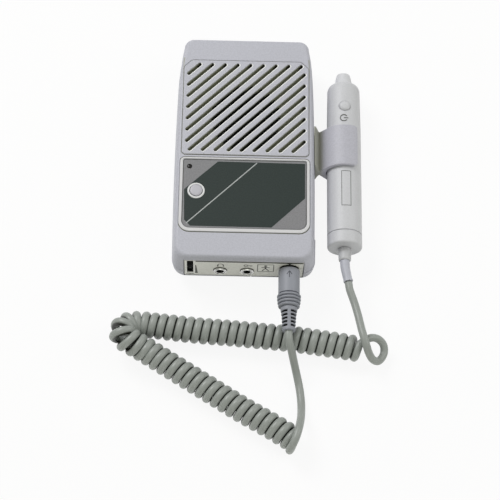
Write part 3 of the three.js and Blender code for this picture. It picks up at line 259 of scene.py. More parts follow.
def frontShadeAndHighlight(finish, place, base):
    # painted shade and highlights: the slots' walls and the grooves are painted dark as shade, the label's
    # border and the slots' lower rims pale as highlights
    x, y, z = axesOf(finish, place)
    towardX, towardY = axesOf(finish, finish.node("ShaderNodeTexCoord", output="Normal"), 1)[:2]
    past = finish.past
    top, half, corner = frontPaintedLight["padTop"], frontPaintedLight["padHalf"], frontPaintedLight["padCorner"]
    level = finish.node("ShaderNodeMath", {"operation": "ABSOLUTE"}, {0: x})
    inPad = past(-1 * level, -half, 0.1) * past(y, frontPaintedLight["padLow"], 0.1)
    inPad = inPad * past(-1 * y, -frontPaintedLight["padHigh"], 0.1) * past(-1 * (level + y), -corner, 0.1)
    # painted highlight on the slots' rims that face the light
    rim = past(-1 * z, 0.01 - top, 0.02) * inPad * past(towardY - towardX, -0.3, 0.35)
    deeper = past(-1 * z, 0.4 - top, 0.06) * inPad
    # painted highlight on the label's raised border
    borderHighlight = past(z, frontPaintedLight["borderFrom"], 0.08) * past(-1 * y, -frontPaintedLight["borderTop"], 0.5)
    inFace = past(-1 * level, -frontPaintedLight["grooveHalf"], 0.1) * past(y, -frontPaintedLight["grooveEnd"], 0.1)
    inFace = inFace * past(-1 * y, -frontPaintedLight["grooveEnd"], 0.1)
    # painted shade in the grooves round the pad and the label's border
    inGroove = past(-1 * z, -frontPaintedLight["grooveFrom"], 0.08) * inFace
    besidePad = past(y, frontPaintedLight["padGrooveFrom"], 0.2)
    grooveShade = finish.mixed(besidePad, frontPaintedLight["groove"], frontPaintedLight["padGrooveShade"])
    base = finish.mixed(inGroove, base, grooveShade)
    # painted shade on the slots' walls over the speaker and at the slots' upper ends
    overSpeaker = speakerShade(finish, x, y) * past(-1 * z, 0.75 - top, 0.7)
    atEnd = past(-1 * (towardX + towardY), 0.45, 0.5)
    shade = overSpeaker + atEnd - overSpeaker * atEnd
    # painted shade on the slots' walls, darker deeper down
    wallShade = finish.mixed(past(-1 * z, 0.5 - top, 1.3), frontPaintedLight["slotWallShade"], frontPaintedLight["slotDeepShade"])
    wallShade = finish.mixed(shade, wallShade, frontPaintedLight["slotShade"])
    base = finish.mixed(deeper, finish.mixed(rim, base, frontPaintedLight["slotRimHighlight"]), wallShade)
    return finish.mixed(borderHighlight, base, frontPaintedLight["border"])


def rootShadeTint(finish, place, base):
    # painted shade: the holder is darker in the valley beside the case
    x = axesOf(finish, place)[0]
    inValley = finish.past(-1 * x, -rootShadeTones["from"], rootShadeTones["fade"])
    return finish.mixed(inValley, base, rootShadeTones["valley"])


def creaseShadeTint(finish, place, base):
    # painted shade: the cord is dark where its curls lie against each other
    crease = finish.node("ShaderNodeAttribute", {"attribute_name": "crease"}, output="Fac")
    between = finish.past(crease, creaseShadeTones["from"], creaseShadeTones["fade"])
    return finish.mixed(between, base, creaseShadeTones["between"])


def metal(name, colour, roughness=0.25, brushed=0.1):
    finish = Finish(name)
    place = finish.node("ShaderNodeTexCoord", output="Object")
    fine = finish.node("ShaderNodeTexNoise", inputs={"Vector": place, "Scale": 1800.0, "Detail": 2.0})
    shader = finish.node("ShaderNodeBsdfPrincipled", inputs={
        "Base Color": finish.mixed(fine, shaded(colour, 0.92), colour),
        "Roughness": roughness + (fine - 0.5) * brushed,
        "Metallic": 1.0,
    })
    return finish.end(shader)


finishes = {
    "case": plastic("caseGrey", tone(189, 190, 200), 0.5, 0.3, 0.5, speck=0.05),
    "front": plastic("frontGrey", tone(189, 190, 200), 0.5, 0.3, 0.5, speck=0.05, tint=frontShadeAndHighlight),
    "holder": plastic("holderGrey", tone(186, 186, 196), 0.5, 0.3, 0.5, speck=0.05, tint=rootShadeTint),
    # the end panel is painted paler than the case, as painted light for what the floor throws back onto it
    "panel": plastic("panelGrey", tone(230, 230, 224), 0.5, 0.2, speck=0.04),
    "labelDark": plastic("labelDark", tone(44, 54, 52), 0.5, 0.1, 0.35, 0.03, 0.3, 0.1),
    "labelGrey": plastic("labelGrey", tone(135, 135, 138), 0.5, 0.1, 0.35, 0.03, 0.3, 0.07),
    "button": plastic("buttonGrey", tone(191, 190, 198), 0.45),
    "lamp": plastic("lampDark", tone(14, 11, 11), 0.35, 0.0),
    "black": plastic("blackPlastic", tone(28, 29, 31), 0.42),
    "wheel": plastic("wheelBlack", tone(15, 16, 17), 0.7, 0.0, specular=0.2),
    "felt": plastic("speakerFelt", tone(126, 128, 112), 0.95, 0.1, 0.25, 0.04, 0.1, tint=feltShadeTint),
    "steel": metal("steel", tone(190, 191, 192), 0.28),
    "chrome": metal("brightNickel", tone(226, 226, 223), 0.2, 0.04),
    "brass": metal("brass", tone(206, 170, 84), 0.25),
    "cone": plastic("paperCone", tone(14, 14, 15), 0.9, 0.2),
    "board": plastic("boardGreen", tone(44, 102, 58), 0.4),
    "battery": plastic("batterySkin", tone(96, 99, 106), 0.35),
    "probe": plastic("probeGrey", tone(205, 206, 210), 0.48, 0.2, 0.4, speck=0.03),
    "tip": plastic("tipGrey", tone(215, 216, 220), 0.48, 0.2, 0.4, speck=0.03),
    "ceramic": plastic("crystalWhite", tone(214, 208, 190), 0.4),
    "epoxy": plastic("epoxy", tone(118, 116, 104), 0.6),
    "plug": plastic("plugGrey", tone(149, 152, 161), 0.5),
    "cord": plastic("cordGrey", tone(155, 160, 156), 0.4, 0.12, 0.5, 0.05, 0.6, tint=creaseShadeTint),
    "white": plastic("ringWhite", tone(226, 227, 228), 0.45, 0.0),
    "labelLine": plastic("labelLine", tone(176, 180, 180), 0.5, 0.0),
    "panelLight": plastic("panelLight", tone(246, 246, 243), 0.5, 0.0),
    "markDark": plastic("markDark", tone(70, 72, 66), 0.5, 0.0),
    "plugMark": plastic("plugMark", tone(88, 91, 98), 0.5, 0.0),
    "probeMark": plastic("probeMark", tone(84, 86, 84), 0.5, 0.0),
    "collar": plastic("collarGrey", tone(192, 193, 196), 0.48),
    "sleeve": plastic("sleeveGrey", tone(186, 188, 198), 0.45),
}
nodeFinish = {
    "front_shell": "case", "rear_shell": "case", "battery_door": "case", "probe_holder": "case",
    "end_panel": "panel", "name_plate": "labelDark", "calibrate_button": "button",
    "button_bezel": "white", "calibrate_switch": "black", "power_lamp": "lamp",
    "button_board": "board", "main_board": "board", "probe_board": "board",
    "speaker_felt": "felt", "speaker_frame": "steel", "speaker_cone": "cone", "speaker_magnet": "steel",
    "shield_can": "steel", "signal_chip": "black", "filter_capacitor_1": "black",
    "filter_capacitor_2": "black", "volume_wheel": "black", "volume_pot": "black",
    "headphone_jack": "black", "line_jack": "black", "headphone_nut": "chrome", "line_nut": "chrome",
    "probe_socket": "black", "plug_shell": "chrome", "plug_pins": "brass", "plug_body": "plug",
    "plug_grip": "plug", "plug_relief": "plug", "battery": "battery", "battery_snap": "black",
    "case_screw_1": "steel", "case_screw_2": "steel", "case_screw_3": "steel", "case_screw_4": "steel",
    "probe_body": "probe", "probe_tip": "probe", "transmit_crystal": "ceramic",
    "receive_crystal": "ceramic", "crystal_backing": "epoxy", "probe_button": "probe",
    "probe_switch": "black", "probe_end_cap": "probe", "cord_collar": "plug", "cord_sleeve": "plug",
    "curly_cord": "cord", "cord_plug_tail": "cord", "cord_probe_tail": "cord",
}
for name, node in nodes.items():
    node.data.materials.clear()
    node.data.materials.append(finishes[nodeFinish[name]])
print("finishes made")


# shapes, in millimetres; each is a closed mesh with its faces outwards

def placed(name, data):
    obj = bpy.data.objects.new(name, data)
    bpy.context.scene.collection.objects.link(obj)
    return obj


def meshObject(name, points, faces):
    mesh = bpy.data.meshes.new(name)
    mesh.from_pydata([tuple(Vector(p) * mm) for p in points], [], faces)
    obj = placed(name, mesh)
    work = bmesh.new()
    work.from_mesh(mesh)
    bmesh.ops.remove_doubles(work, verts=work.verts, dist=1e-7)
    bmesh.ops.recalc_face_normals(work, faces=work.faces)
    work.to_mesh(mesh)
    work.free()
    return obj


def sideFaces(rings):
    # the faces between rings of equally many points
    count = len(rings[0])
    faces = []
    for k in range(len(rings) - 1):
        for i in range(count):
            a, b = k * count + i, k * count + (i + 1) % count
            faces.append((a, b, b + count, a + count))
    return faces


def stack(name, rings):
    # rings of equally many points, one above the other, closed at both ends
    count = len(rings[0])
    last = (len(rings) - 1) * count
    faces = [*sideFaces(rings), tuple(reversed(range(count))), tuple(range(last, last + count))]
    return meshObject(name, [p for ring in rings for p in ring], faces)


def along(axis, first, second, place):
    # a point from two coordinates square to the axis and one along it
    return {"x": (place, first, second), "y": (first, place, second), "z": (first, second, place)}[axis]


def turned(name, profile, axis, centre, sides=48):
    # profile: radius and place along the axis; it ends on the axis, or closes on itself
    points = []
    rings = []
    for radius, place in profile:
        count = sides if radius > 1e-6 else 1
        rings.append(range(len(points), len(points) + count))
        for i in range(count):
            angle = 2 * math.pi * i / sides
            across = centre[0] + radius * math.cos(angle)
            points.append(along(axis, across, centre[1] + radius * math.sin(angle), place))
    faces = []
    for low, high in zip(rings, rings[1:]):
        for i in range(sides):
            j = (i + 1) % sides
            face = [low[i % len(low)], low[j % len(low)], high[j % len(high)], high[i % len(high)]]
            face = list(dict.fromkeys(face))
            if len(face) > 2:
                faces.append(face)
    return meshObject(name, points, faces)


def rod(axis, centre, radius, start, end, sides=48):
    return turned("rod", [(0, start), (radius, start), (radius, end), (0, end)], axis, centre, sides)


def box(low, high):
    x, y, z = zip(low, high)
    ring = [(x[0], y[0]), (x[1], y[0]), (x[1], y[1]), (x[0], y[1])]
    return stack("box", [[(*p, z[0]) for p in ring], [(*p, z[1]) for p in ring]])


def roundedOutline(left, bottom, right, top, lower, upper, steps=10):
    corners = [
        (right - lower, bottom + lower, lower, -90), (right - upper, top - upper, upper, 0),
        (left + upper, top - upper, upper, 90), (left + lower, bottom + lower, lower, 180),
    ]
    points = []
    for x, y, radius, start in corners:
        for i in range(steps + 1):
            angle = math.radians(start + 90 * i / steps)
            points.append((x + radius * math.cos(angle), y + radius * math.sin(angle)))
    return points


def moved(outline, amount):
    # the outline grown by the amount all round, with its corners kept
    shifted = []
    count = len(outline)
    for i in range(count):
        before, here, after = (Vector(outline[(i + k) % count]) for k in (-1, 0, 1))
        first, second = (here - before).normalized(), (after - here).normalized()
        square = Vector((first.y, -first.x)), Vector((second.y, -second.x))
        shift = (square[0] + square[1]) / (1 + square[0].dot(square[1]))
        shifted.append(tuple(here + shift * amount))
    return shifted


def plate(name, outline, levels, axis="z"):
    # levels: place along the axis, and how far the outline is grown there
    rings = []
    for place, grow in levels:
        rings.append([along(axis, p[0], p[1], place) for p in moved(outline, grow)])
    return stack(name, rings)


def combined(obj, operation, tools):
    for tool in tools:
        change = obj.modifiers.new("combine", "BOOLEAN")
        change.operation = operation
        change.solver = "EXACT"
        change.object = tool
        settled(obj)
        bpy.data.objects.remove(tool)
    return obj


def cut(obj, *tools):
    return combined(obj, "DIFFERENCE", tools)


def joined(obj, *tools):
    return combined(obj, "UNION", tools)


def finished(obj, name, finish, body, replaced=(), sharp=32):
    # smooth where its faces meet gently, painted and given to its body
    mesh = obj.data
    obj.name = mesh.name = name
    mesh.shade_smooth()
    mesh.set_sharp_from_angle(angle=math.radians(sharp))
    change = obj.modifiers.new("weighted", "WEIGHTED_NORMAL")
    change.keep_sharp = True
    settled(obj)
    obj.data.name = name
    obj.data.materials.clear()
    obj.data.materials.append(finishes[finish])
    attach(obj, body)
    if replaced:
        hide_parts(*replaced)
    return obj


def pointObject(name, places, values=None, edges=()):
    # loose points for a tree to work on, each with its own numbers
    mesh = bpy.data.meshes.new(name)
    mesh.from_pydata([tuple(Vector(p) * mm) for p in places], list(edges), [])
    for key, numbers in (values or {}).items():
        mesh.attributes.new(key, "FLOAT", "POINT").data.foreach_set("value", numbers)
    return placed(name, mesh)


# cord, from the probe's sleeve to the plug's strain relief

cordShape = {
    "diameter": 4.2,
    "coilRadius": 4.9,
    "pitch": 4.8,
    "startAngle": 100,
    "stepsPerTurn": 24,
    "cornerPoint": 12,      # the axis point in the middle of the bend
    "cornerReach": 13,
    "cornerPitch": 4.3,
    "cornerSwell": 0.4,     # how much wider the coil is in the bend
    "curlSwell": 1.1,       # the cord's width in the curls, as a share of its width elsewhere
    "sides": 20,
    "splitStep": 0.08,      # both runs go straight for this length where they meet
    "axis": [
        (62.5, -108.6, 7.2), (54.7, -107.2, 7.2), (40.0, -105.2, 7.2), (25.3, -103.4, 7.2),
        (12.0, -102.3, 7.2), (-6.2, -100.9, 7.2), (-23.4, -99.8, 7.2), (-38.4, -98.5, 7.5),
        (-46.0, -97.8, 7.6), (-53.0, -97.3, 7.9), (-58.2, -97.8, 8.9), (-61.8, -100.2, 10.8),
        (-63.2, -103.8, 13.0), (-61.8, -107.6, 13.8), (-57.2, -110.0, 12.4), (-52.8, -111.9, 10.4),
        (-47.2, -114.9, 9.0), (-34.3, -122.6, 8.0), (-18.0, -132.5, 7.2), (0.5, -144.0, 7.2),
        (17.2, -153.5, 7.2), (27.6, -160.0, 7.2),
    ],
    "probeTail": [
        (56.9, -73.3, 15.0), (57.6, -77.6, 14.8), (60.0, -84.7, 14.2), (61.8, -91.8, 14.6),
        (62.6, -95.9, 15.2),
    ],
    "probeLoop": [
        (62.65, -96.2, 15.3), (63.4, -100.3, 16.2), (64.4, -104.8, 17.0), (65.8, -109.4, 16.2),
        (67.4, -112.8, 13.0), (69.8, -114.9, 8.8), (73.2, -114.5, 5.6), (76.1, -110.0, 4.6),
        (75.9, -105.6, 6.3), (72.8, -103.2, 8.9), (68.3, -103.7, 11.2),
    ],
    "plugLoop": [
        (29.1, -157.4, 5.6), (28.3, -160.2, 3.2), (27.0, -163.5, 3.4), (26.0, -165.9, 6.2),
        (25.9, -166.6, 10.2), (27.3, -165.2, 13.6), (29.0, -161.6, 15.2), (30.3, -157.0, 14.6),
        (31.2, -152.4, 11.6), (31.75, -148.6, 8.55),
    ],
    "plugTail": [
        (31.8, -148.25, 8.25), (32.1, -143.6, 4.9), (32.1, -138.0, 2.7), (31.6, -132.4, 2.2),
        (30.7, -127.0, 2.5), (29.2, -121.3, 5.2), (27.6, -116.6, 10.2), (26.1, -112.3, 15.3),
        (25.0, -108.9, 17.9), (24.75, -106.2, 18.6), (24.75, -103.6, 18.6),
    ],
}


def splinePoints(route, first, last, perSpan):
    # an even spline through the points; only its spans from first to last
    route = [Vector(p) for p in route]
    ends = [2 * route[0] - route[1], *route, 2 * route[-1] - route[-2]]
    points = []
    for span in range(first, last):
        a, b, c, d = ends[span:span + 4]
        for i in range(perSpan):
            t = i / perSpan
            points.append(0.5 * (
                2 * b + (c - a) * t + (2 * a - 5 * b + 4 * c - d) * t ** 2 + (3 * b - a - 3 * c + d) * t ** 3
            ))
    return points + [route[last]]


def coilPoints(shape):
    # returns the helix, its axis's direction at each point, and the point in the middle of the bend
    line = splinePoints(shape["axis"], 0, len(shape["axis"]) - 1, 40)
    reached = [0.0]
    for a, b in zip(line, line[1:]):
        reached.append(reached[-1] + (b - a).length)
    middle = reached[shape["cornerPoint"] * 40]
    whole = reached[-1]

    def axisAt(s):
        inside = min(max(s, 0), whole)
        i = 1
        while i < len(line) - 1 and reached[i] < inside:
            i += 1
        along = line[i] - line[i - 1]
        share = (inside - reached[i - 1]) / (reached[i] - reached[i - 1])
        return line[i - 1] + along * share + along.normalized() * (s - inside)

    def bend(s):
        share = max(0, 1 - abs(s - middle) / shape["cornerReach"])
        return share * share * (3 - 2 * share)

    points = []
    ways = []
    places = []
    turns = 0.0
    step = 0.02
    for count in range(int(whole / step) + 1):
        s = count * step
        if turns * shape["stepsPerTurn"] >= len(points):
            along = (axisAt(s + shape["pitch"]) - axisAt(s - shape["pitch"])).normalized()
            over = (Vector((0, 0, 1)) - along * along.z).normalized()
            across = over.cross(along)
            angle = math.radians(shape["startAngle"] - 360 * len(points) / shape["stepsPerTurn"])
            radius = shape["coilRadius"] + shape["cornerSwell"] * bend(s)
            points.append(axisAt(s) + radius * (math.cos(angle) * across + math.sin(angle) * over))
            ways.append(along)
            places.append(s)
        turns += step / (shape["pitch"] + (shape["cornerPitch"] - shape["pitch"]) * bend(s))
    split = min(range(len(places)), key=lambda i: abs(places[i] - middle))
    return points, ways, split


def cordRuns(shape):
    # the probe's run ends in the coil's bend, where the plug's run starts; a run is its points,
    # their widths and the direction in which the neighbouring curls lie
    coil, coilWays, split = coilPoints(shape)
    eighth = shape["stepsPerTurn"] // 8
    loop = shape["probeLoop"]
    lead = splinePoints([*loop, coil[0], coil[eighth]], 0, len(loop), 6)
    loop = shape["plugLoop"]
    tail = splinePoints([coil[-1 - eighth], coil[-1], *loop], 1, len(loop) + 1, 6)
    before = splinePoints(shape["probeTail"], 0, len(shape["probeTail"]) - 1, 6)
    after = splinePoints(shape["plugTail"], 0, len(shape["plugTail"]) - 1, 6)
    whole = [*before, *lead[:-1], *coil, *tail[1:], *after]
    split += len(before) + len(lead) - 1
    first = len(before) + len(lead)
    last = first + len(coil)
    ease = shape["stepsPerTurn"]
    widths = []
    for i in range(len(whole)):
        inside = min(max(0, i - first), max(0, last - i)) / ease
        widths.append(1 + (shape["curlSwell"] - 1) * min(1, inside))
    ways = [Vector()] * (first - 1) + coilWays + [Vector()] * (len(whole) - last + 1)
    nudge = (whole[split + 1] - whole[split - 1]).normalized() * shape["splitStep"]
    probeRun = [*whole[:split], whole[split] - nudge, whole[split]]
    plugRun = [whole[split], whole[split] + nudge, *whole[split + 1:]]
    probeWidths = [*widths[:split], widths[split], widths[split]]
    plugWidths = [widths[split], widths[split], *widths[split + 1:]]
    probeWays = [*ways[:split], ways[split], ways[split]]
    plugWays = [ways[split], ways[split], *ways[split + 1:]]
    return (probeRun, probeWidths, probeWays), (plugRun, plugWidths, plugWays)


jacket = Steps("cordJacket", {"Diameter": "NodeSocketFloat", "Sides": "NodeSocketInt"})
line = jacket.node("GeometryNodeMeshToCurve", inputs={0: jacket.given("Geometry")})
section = jacket.node("GeometryNodeCurvePrimitiveCircle", inputs={
    "Resolution": jacket.given("Sides"), "Radius": jacket.given("Diameter") / 2,
})
width = jacket.node("GeometryNodeInputNamedAttribute", {"data_type": "FLOAT"}, {"Name": "width"})
tube = jacket.node("GeometryNodeCurveToMesh", inputs={0: line, 1: section, "Scale": width, "Fill Caps": True})
jacket.end(tube, finishes["cord"])


def wireObject(name, points, widths):
    # points joined by edges, each with its share of the full width
    edges = [(i, i + 1) for i in range(len(points) - 1)]
    return pointObject(name, points, {"width": widths}, edges)


def cordPiece(name, points, widths, ways):
    obj = wireObject(name, points, widths)
    jacket.run(obj, {"Diameter": cordShape["diameter"] * mm, "Sides": cordShape["sides"]})
    near = KDTree(len(points))
    for i, point in enumerate(points):
        near.insert(Vector(point) * mm, i)
    near.balance()
    values = []
    for vertex in obj.data.vertices:
        point, i = near.find(vertex.co)[:2]
        values.append(abs((vertex.co - point).dot(ways[i])) / (cordShape["diameter"] / 2 * widths[i] * mm))
    obj.data.attributes.new("crease", "FLOAT", "POINT").data.foreach_set("value", values)
    return obj


def runLength(points):
    return sum((b - a).length for a, b in zip(points, points[1:])) * mm


(probeRun, *probeSizes), (plugRun, *plugSizes) = cordRuns(cordShape)
probeCord = cordPiece("probeCord", probeRun, *probeSizes)
plugCord = cordPiece("plugCord", plugRun, *plugSizes)
print("cords", round(runLength(probeRun), 3), round(runLength(plugRun), 3), "m")

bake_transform(probeCord)
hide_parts("cord_probe_tail", "curly_cord")
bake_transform(plugCord)
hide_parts("cord_plug_tail")


# case: the outline bows in towards both ends and is scaled a little at each height

case = {
    "halfWidth": 38.8, "top": 69.4, "bottom": -68.3, "depth": 30.5, "seam": 15.0, "wall": 2.2,
    "sideBow": 1.0, "bowCentre": -20.0, "shoulderBow": 1.6, "shoulderStart": 45.0, "shoulderLength": 20.0,
    "topCorner": 5.0, "bottomCorner": 7.0, "cornerSteps": 10, "sideSteps": 18,
    "lipStart": 26.5,       # where the front edge starts to round over
    "gap": 0.3,
}


def sideX(y):
    bow = case["sideBow"] * ((y - case["bowCentre"]) / (case["top"] - case["bowCentre"]) * 1.27) ** 2
    shoulder = max(0, y - case["shoulderStart"]) / case["shoulderLength"]
    return case["halfWidth"] - bow - case["shoulderBow"] * shoulder ** 2


def caseOutline():
    half = []
    low, high = case["bottom"] + case["bottomCorner"], case["top"] - case["topCorner"]
    for i in range(case["cornerSteps"] + 1):
        angle = (i / case["cornerSteps"] - 1) * math.pi / 2
        reach = case["bottomCorner"]
        half.append((sideX(low) + reach * (math.cos(angle) - 1), low + reach * math.sin(angle)))
    for i in range(1, case["sideSteps"]):
        y = low + (high - low) * i / case["sideSteps"]
        half.append((sideX(y), y))
    for i in range(case["cornerSteps"] + 1):
        angle = i / case["cornerSteps"] * math.pi / 2
        reach = case["topCorner"]
        half.append((sideX(high) + reach * (math.cos(angle) - 1), high + reach * math.sin(angle)))
    return half + [(-x, y) for x, y in reversed(half)]


outline = caseOutline()


def caseLoft(name, levels):
    # levels: height, and how far in the sides, the speaker end and the panel end are
    rings = []
    for z, side, top, bottom in levels:
        across = (case["halfWidth"] - side) / case["halfWidth"]
        up = (case["top"] - top) / case["top"]
        down = (case["bottom"] + bottom) / case["bottom"]
        rings.append([(x * across, y * (up if y > 0 else down), z) for x, y in outline])
    return stack(name, rings)


def lipLevels(steps=8):
    levels = []
    for i in range(steps + 1):
        turn = math.pi / 2 * i / steps
        inset = 1 - math.cos(turn)
        z = case["lipStart"] + (case["depth"] - case["lipStart"]) * math.sin(turn)
        levels.append((z, 1.0 + 2.3 * inset, 0.8 + 2.0 * inset, 0.9 + 2.0 * inset))
    return levels


def inward(level, amount):
    return (level[0], *(value + amount for value in level[1:]))


backLevels = [
    (0, 6.0, 4.0, 5.5), (0.25, 5.5, 3.6, 5.1), (0.8, 4.95, 3.15, 4.65), (7.4, 0.95, 0.72, 0.78),
    (8.0, 0.7, 0.5, 0.5), (8.8, 0.54, 0.4, 0.4), (case["seam"], 0, 0, 0),
]
seamFoot = (case["seam"] + 0.12, 0.3, 0.3, 0.3)     # the front shell's rim stands back a little at the seam
frontLevels = [seamFoot, (case["seam"] + 0.35, 0.02, 0.02, 0.02), *lipLevels()]
wall = case["wall"]
faceInside = case["depth"] - wall
boardBase, boardTop = 10.3, 11.9
far = 5                     # how far a cutter runs past what it cuts

panel = {
    "left": -31.6, "right": 32.4, "low": 8.3, "high": 26.0, "face": -67.5, "back": -64.9,
    "flange": 1.2, "lip": 1.4,
}


def panelOpening():
    g, lip = case["gap"], panel["lip"]
    back = panel["back"] + panel["flange"]
    through = box(
        (panel["left"] - g, case["bottom"] - far, panel["low"] - g),
        (panel["right"] + g, back, panel["high"] + g),
    )
    pocket = box(
        (panel["left"] - lip - g, panel["back"] - g, panel["low"] - lip - g),
        (panel["right"] + lip + g, back + g, panel["high"] + lip + g),
    )
    return [through, pocket]


# grille: slanted slots in a raised pad

grille = {
    "count": 16, "pitch": 5.0, "width": 1.9, "halfWidth": 32.1, "bottom": -2.5, "height": 53.8,
    "margin": 2.4, "topMargin": 2.6, "rise": 0.55, "chamfer": 4.2, "rim": 0.52,
    "rimLean": 0.5,         # how much more the rim opens on the slots' lower side
}


groove = {"width": 0.55, "depth": 0.35}     # round the pad and round the label's border


def footGroove(name, ring):
    # a ring-shaped cutter that follows the foot of a raised shape
    low, high = case["depth"] - groove["depth"], case["depth"] + 0.3
    outer = plate(name, ring, [(low, 0.1 + 0.6 * groove["width"]), (high, 0.1 + groove["width"] * 1.2)])
    inner = plate("inner", ring, [(low - 1, 0.1), (high + 1, 0.1)])
    return cut(outer, inner)


def padOutline():
    x = grille["halfWidth"] + grille["margin"]
    low = grille["bottom"] - grille["margin"] - 0.4
    high = grille["bottom"] + grille["height"] + grille["topMargin"]
    c = grille["chamfer"]
    corners = [
        (x - 1.2, low, 0.4), (x, low + 1.2, 0.4), (x, high - c, 1.0), (x - c, high, 1.0),
        (-x + c, high, 1.0), (-x, high - c, 1.0), (-x, low + 1.2, 0.4), (-x + 1.2, low, 0.4),
    ]
    ring = []
    for i, (px, py, reach) in enumerate(corners):
        here = Vector((px, py))
        before, after = Vector(corners[i - 1][:2]), Vector(corners[(i + 1) % len(corners)][:2])
        first, last = here + (before - here).normalized() * reach, here + (after - here).normalized() * reach
        for t in (0, 0.25, 0.5, 0.75, 1):
            ring.append(tuple(first * (1 - t) ** 2 + here * 2 * t * (1 - t) + last * t ** 2))
    return ring


def raised(name, ring, rise):
    z = case["depth"]
    return plate(name, ring, [
        (z - 0.6, 0.1), (z + 0.45 * rise, 0.1), (z + 0.72 * rise, 0.02), (z + 0.92 * rise, -0.12),
        (z + rise, -0.35),
    ])


def slotPoints():
    # the middles of the slots, each with half its length
    step = grille["pitch"] * math.sqrt(2)
    top = grille["bottom"] + grille["height"]
    middle = grille["bottom"] + grille["height"] / 2
    places, halves = [], []
    for k in range(grille["count"]):
        rise = middle + ((grille["count"] - 1) / 2 - k) * step
        start = max(-grille["halfWidth"], grille["bottom"] - rise)
        end = min(grille["halfWidth"], top - rise)
        places.append(((start + end) / 2, (start + end) / 2 + rise, 0))
        halves.append((end - start) / math.sqrt(2))
    return places, halves


def slotSeed():
    # a short slot with a rounded rim; its two ends carry -1 and 1
    radius, top, rim = grille["width"] / 2, case["depth"] + grille["rise"], grille["rim"]
    levels, lean = [(faceInside - far, radius)], grille["rimLean"]
    for angle in (0, 24, 46, 64, 77):
        turn = math.radians(angle)
        levels.append((top - rim * (1 - math.sin(turn)), radius + rim * (1 - math.cos(turn))))
    levels.append((top + 0.3, radius + rim + 0.7))
    rings, ends = [], []
    for z, reach in levels:
        ring = []
        for start, end in ((-90, 1), (90, -1)):
            for i in range(9):
                angle = math.radians(start + 180 * i / 8)
                across = reach * math.sin(angle) - lean * (reach - radius)
                ring.append((0.01 * end + reach * math.cos(angle), across, z))
                ends.append(end)
        rings.append(ring)
    obj = stack("slotSeed", rings)
    mark = obj.data.attributes.new("end", "FLOAT", "POINT")
    mark.data.foreach_set("value", [1.0 if v.co.x > 0 else -1.0 for v in obj.data.vertices])
    return obj


slotRow = Steps("slotRow", {"Seed": "NodeSocketObject", "Slant": "NodeSocketFloat"})
seed = slotRow.node("GeometryNodeObjectInfo", inputs={"Object": slotRow.given("Seed")}, output="Geometry")
turn = slotRow.node("ShaderNodeCombineXYZ", inputs={"Z": slotRow.given("Slant")})
copies = slotRow.node("GeometryNodeInstanceOnPoints", inputs={
    "Points": slotRow.given("Geometry"), "Instance": seed, "Rotation": turn,
})
loose = slotRow.node("GeometryNodeRealizeInstances", inputs={0: copies})
named = {"data_type": "FLOAT"}
halfLength = slotRow.node("GeometryNodeInputNamedAttribute", named, {"Name": "half"})
end = slotRow.node("GeometryNodeInputNamedAttribute", named, {"Name": "end"})
cosine = slotRow.node("ShaderNodeMath", {"operation": "COSINE"}, {0: slotRow.given("Slant")})
sine = slotRow.node("ShaderNodeMath", {"operation": "SINE"}, {0: slotRow.given("Slant")})
reach = halfLength * end
shift = slotRow.node("ShaderNodeCombineXYZ", inputs={"X": reach * cosine, "Y": reach * sine})
stretched = slotRow.node("GeometryNodeSetPosition", inputs={"Geometry": loose, "Offset": shift})
slotRow.end(stretched, finishes["case"], smooth=False)


def slotCutters():
    places, halves = slotPoints()
    seedObject = slotSeed()
    cutters = pointObject("slotCutters", places, {"half": [value * mm for value in halves]})
    slotRow.run(cutters, {"Seed": seedObject, "Slant": math.pi / 4})
    bpy.data.objects.remove(seedObject)
    return cutters


# label, its raised border, the button and the lamp

label = {
    "left": -33.6, "right": 33.6, "bottom": -50.0, "top": -8.4, "lower": 4.2, "upper": 1.0,
    "floor": 29.6, "thickness": 0.8, "border": 1.5, "borderRise": 0.45, "borderDrop": 0.5,
}
button = {"at": (-26.2, -27.7), "radius": 3.35, "top": 31.6, "foot": 27.3, "ring": 4.7, "ringRise": 0.5}
lampSpot = {"at": (-30.1, -12.8), "radius": 1.15}


def labelOutline(grow=0.0, drop=0.0):
    return roundedOutline(
        label["left"] - grow, label["bottom"] - grow - drop, label["right"] + grow,
        label["top"] + grow - drop, label["lower"] + grow, label["upper"] + grow,
    )


def frontHole(at, radius, sides=48):
    return rod("z", at, radius, faceInside - far, case["depth"] + far, sides)


screwPlaces = [(-26.5, 57), (26.5, 57), (-26.5, -42), (0.4, -46)]
screw = {"head": 2.5, "recess": 2.4, "shank": 1.2, "post": 3.2, "holeTop": 17.7}


def frontShell():
    shell = caseLoft("frontShell", frontLevels)
    border = labelOutline(label["border"], label["borderDrop"])
    for name, ring, rise in (
        ("grillePad", padOutline(), grille["rise"]), ("labelBorder", border, label["borderRise"]),
    ):
        cut(shell, footGroove("footGroove", ring))
        joined(shell, raised(name, ring, rise))
    cavity = [
        (case["seam"] - far, wall, wall, wall), inward(frontLevels[2], wall), (faceInside, 4.8, 3.9, 4.1),
    ]
    cut(shell, caseLoft("cavity", cavity))
    for at in screwPlaces:
        low = boardTop + case["gap"] if at[1] < 0 else boardBase
        joined(shell, rod("z", at, screw["post"], low, faceInside + 0.5, 24))
        cut(shell, rod("z", at, screw["shank"] + case["gap"], low - far, screw["holeTop"], 16))
    pocket = plate("pocket", labelOutline(), [
        (label["floor"], 0), (case["depth"] + 0.15, 0), (case["depth"] + 0.6, 0.45),
    ])
    cut(shell, pocket, slotCutters())
    cut(shell, frontHole(button["at"], button["radius"] + case["gap"]))
    cut(shell, frontHole(lampSpot["at"], lampSpot["radius"] + case["gap"], 24))
    cut(shell, *panelOpening())
    return finished(shell, "frontShell", "front", "main_unit", ["front_shell"])


frontShell()
print("front shell made")


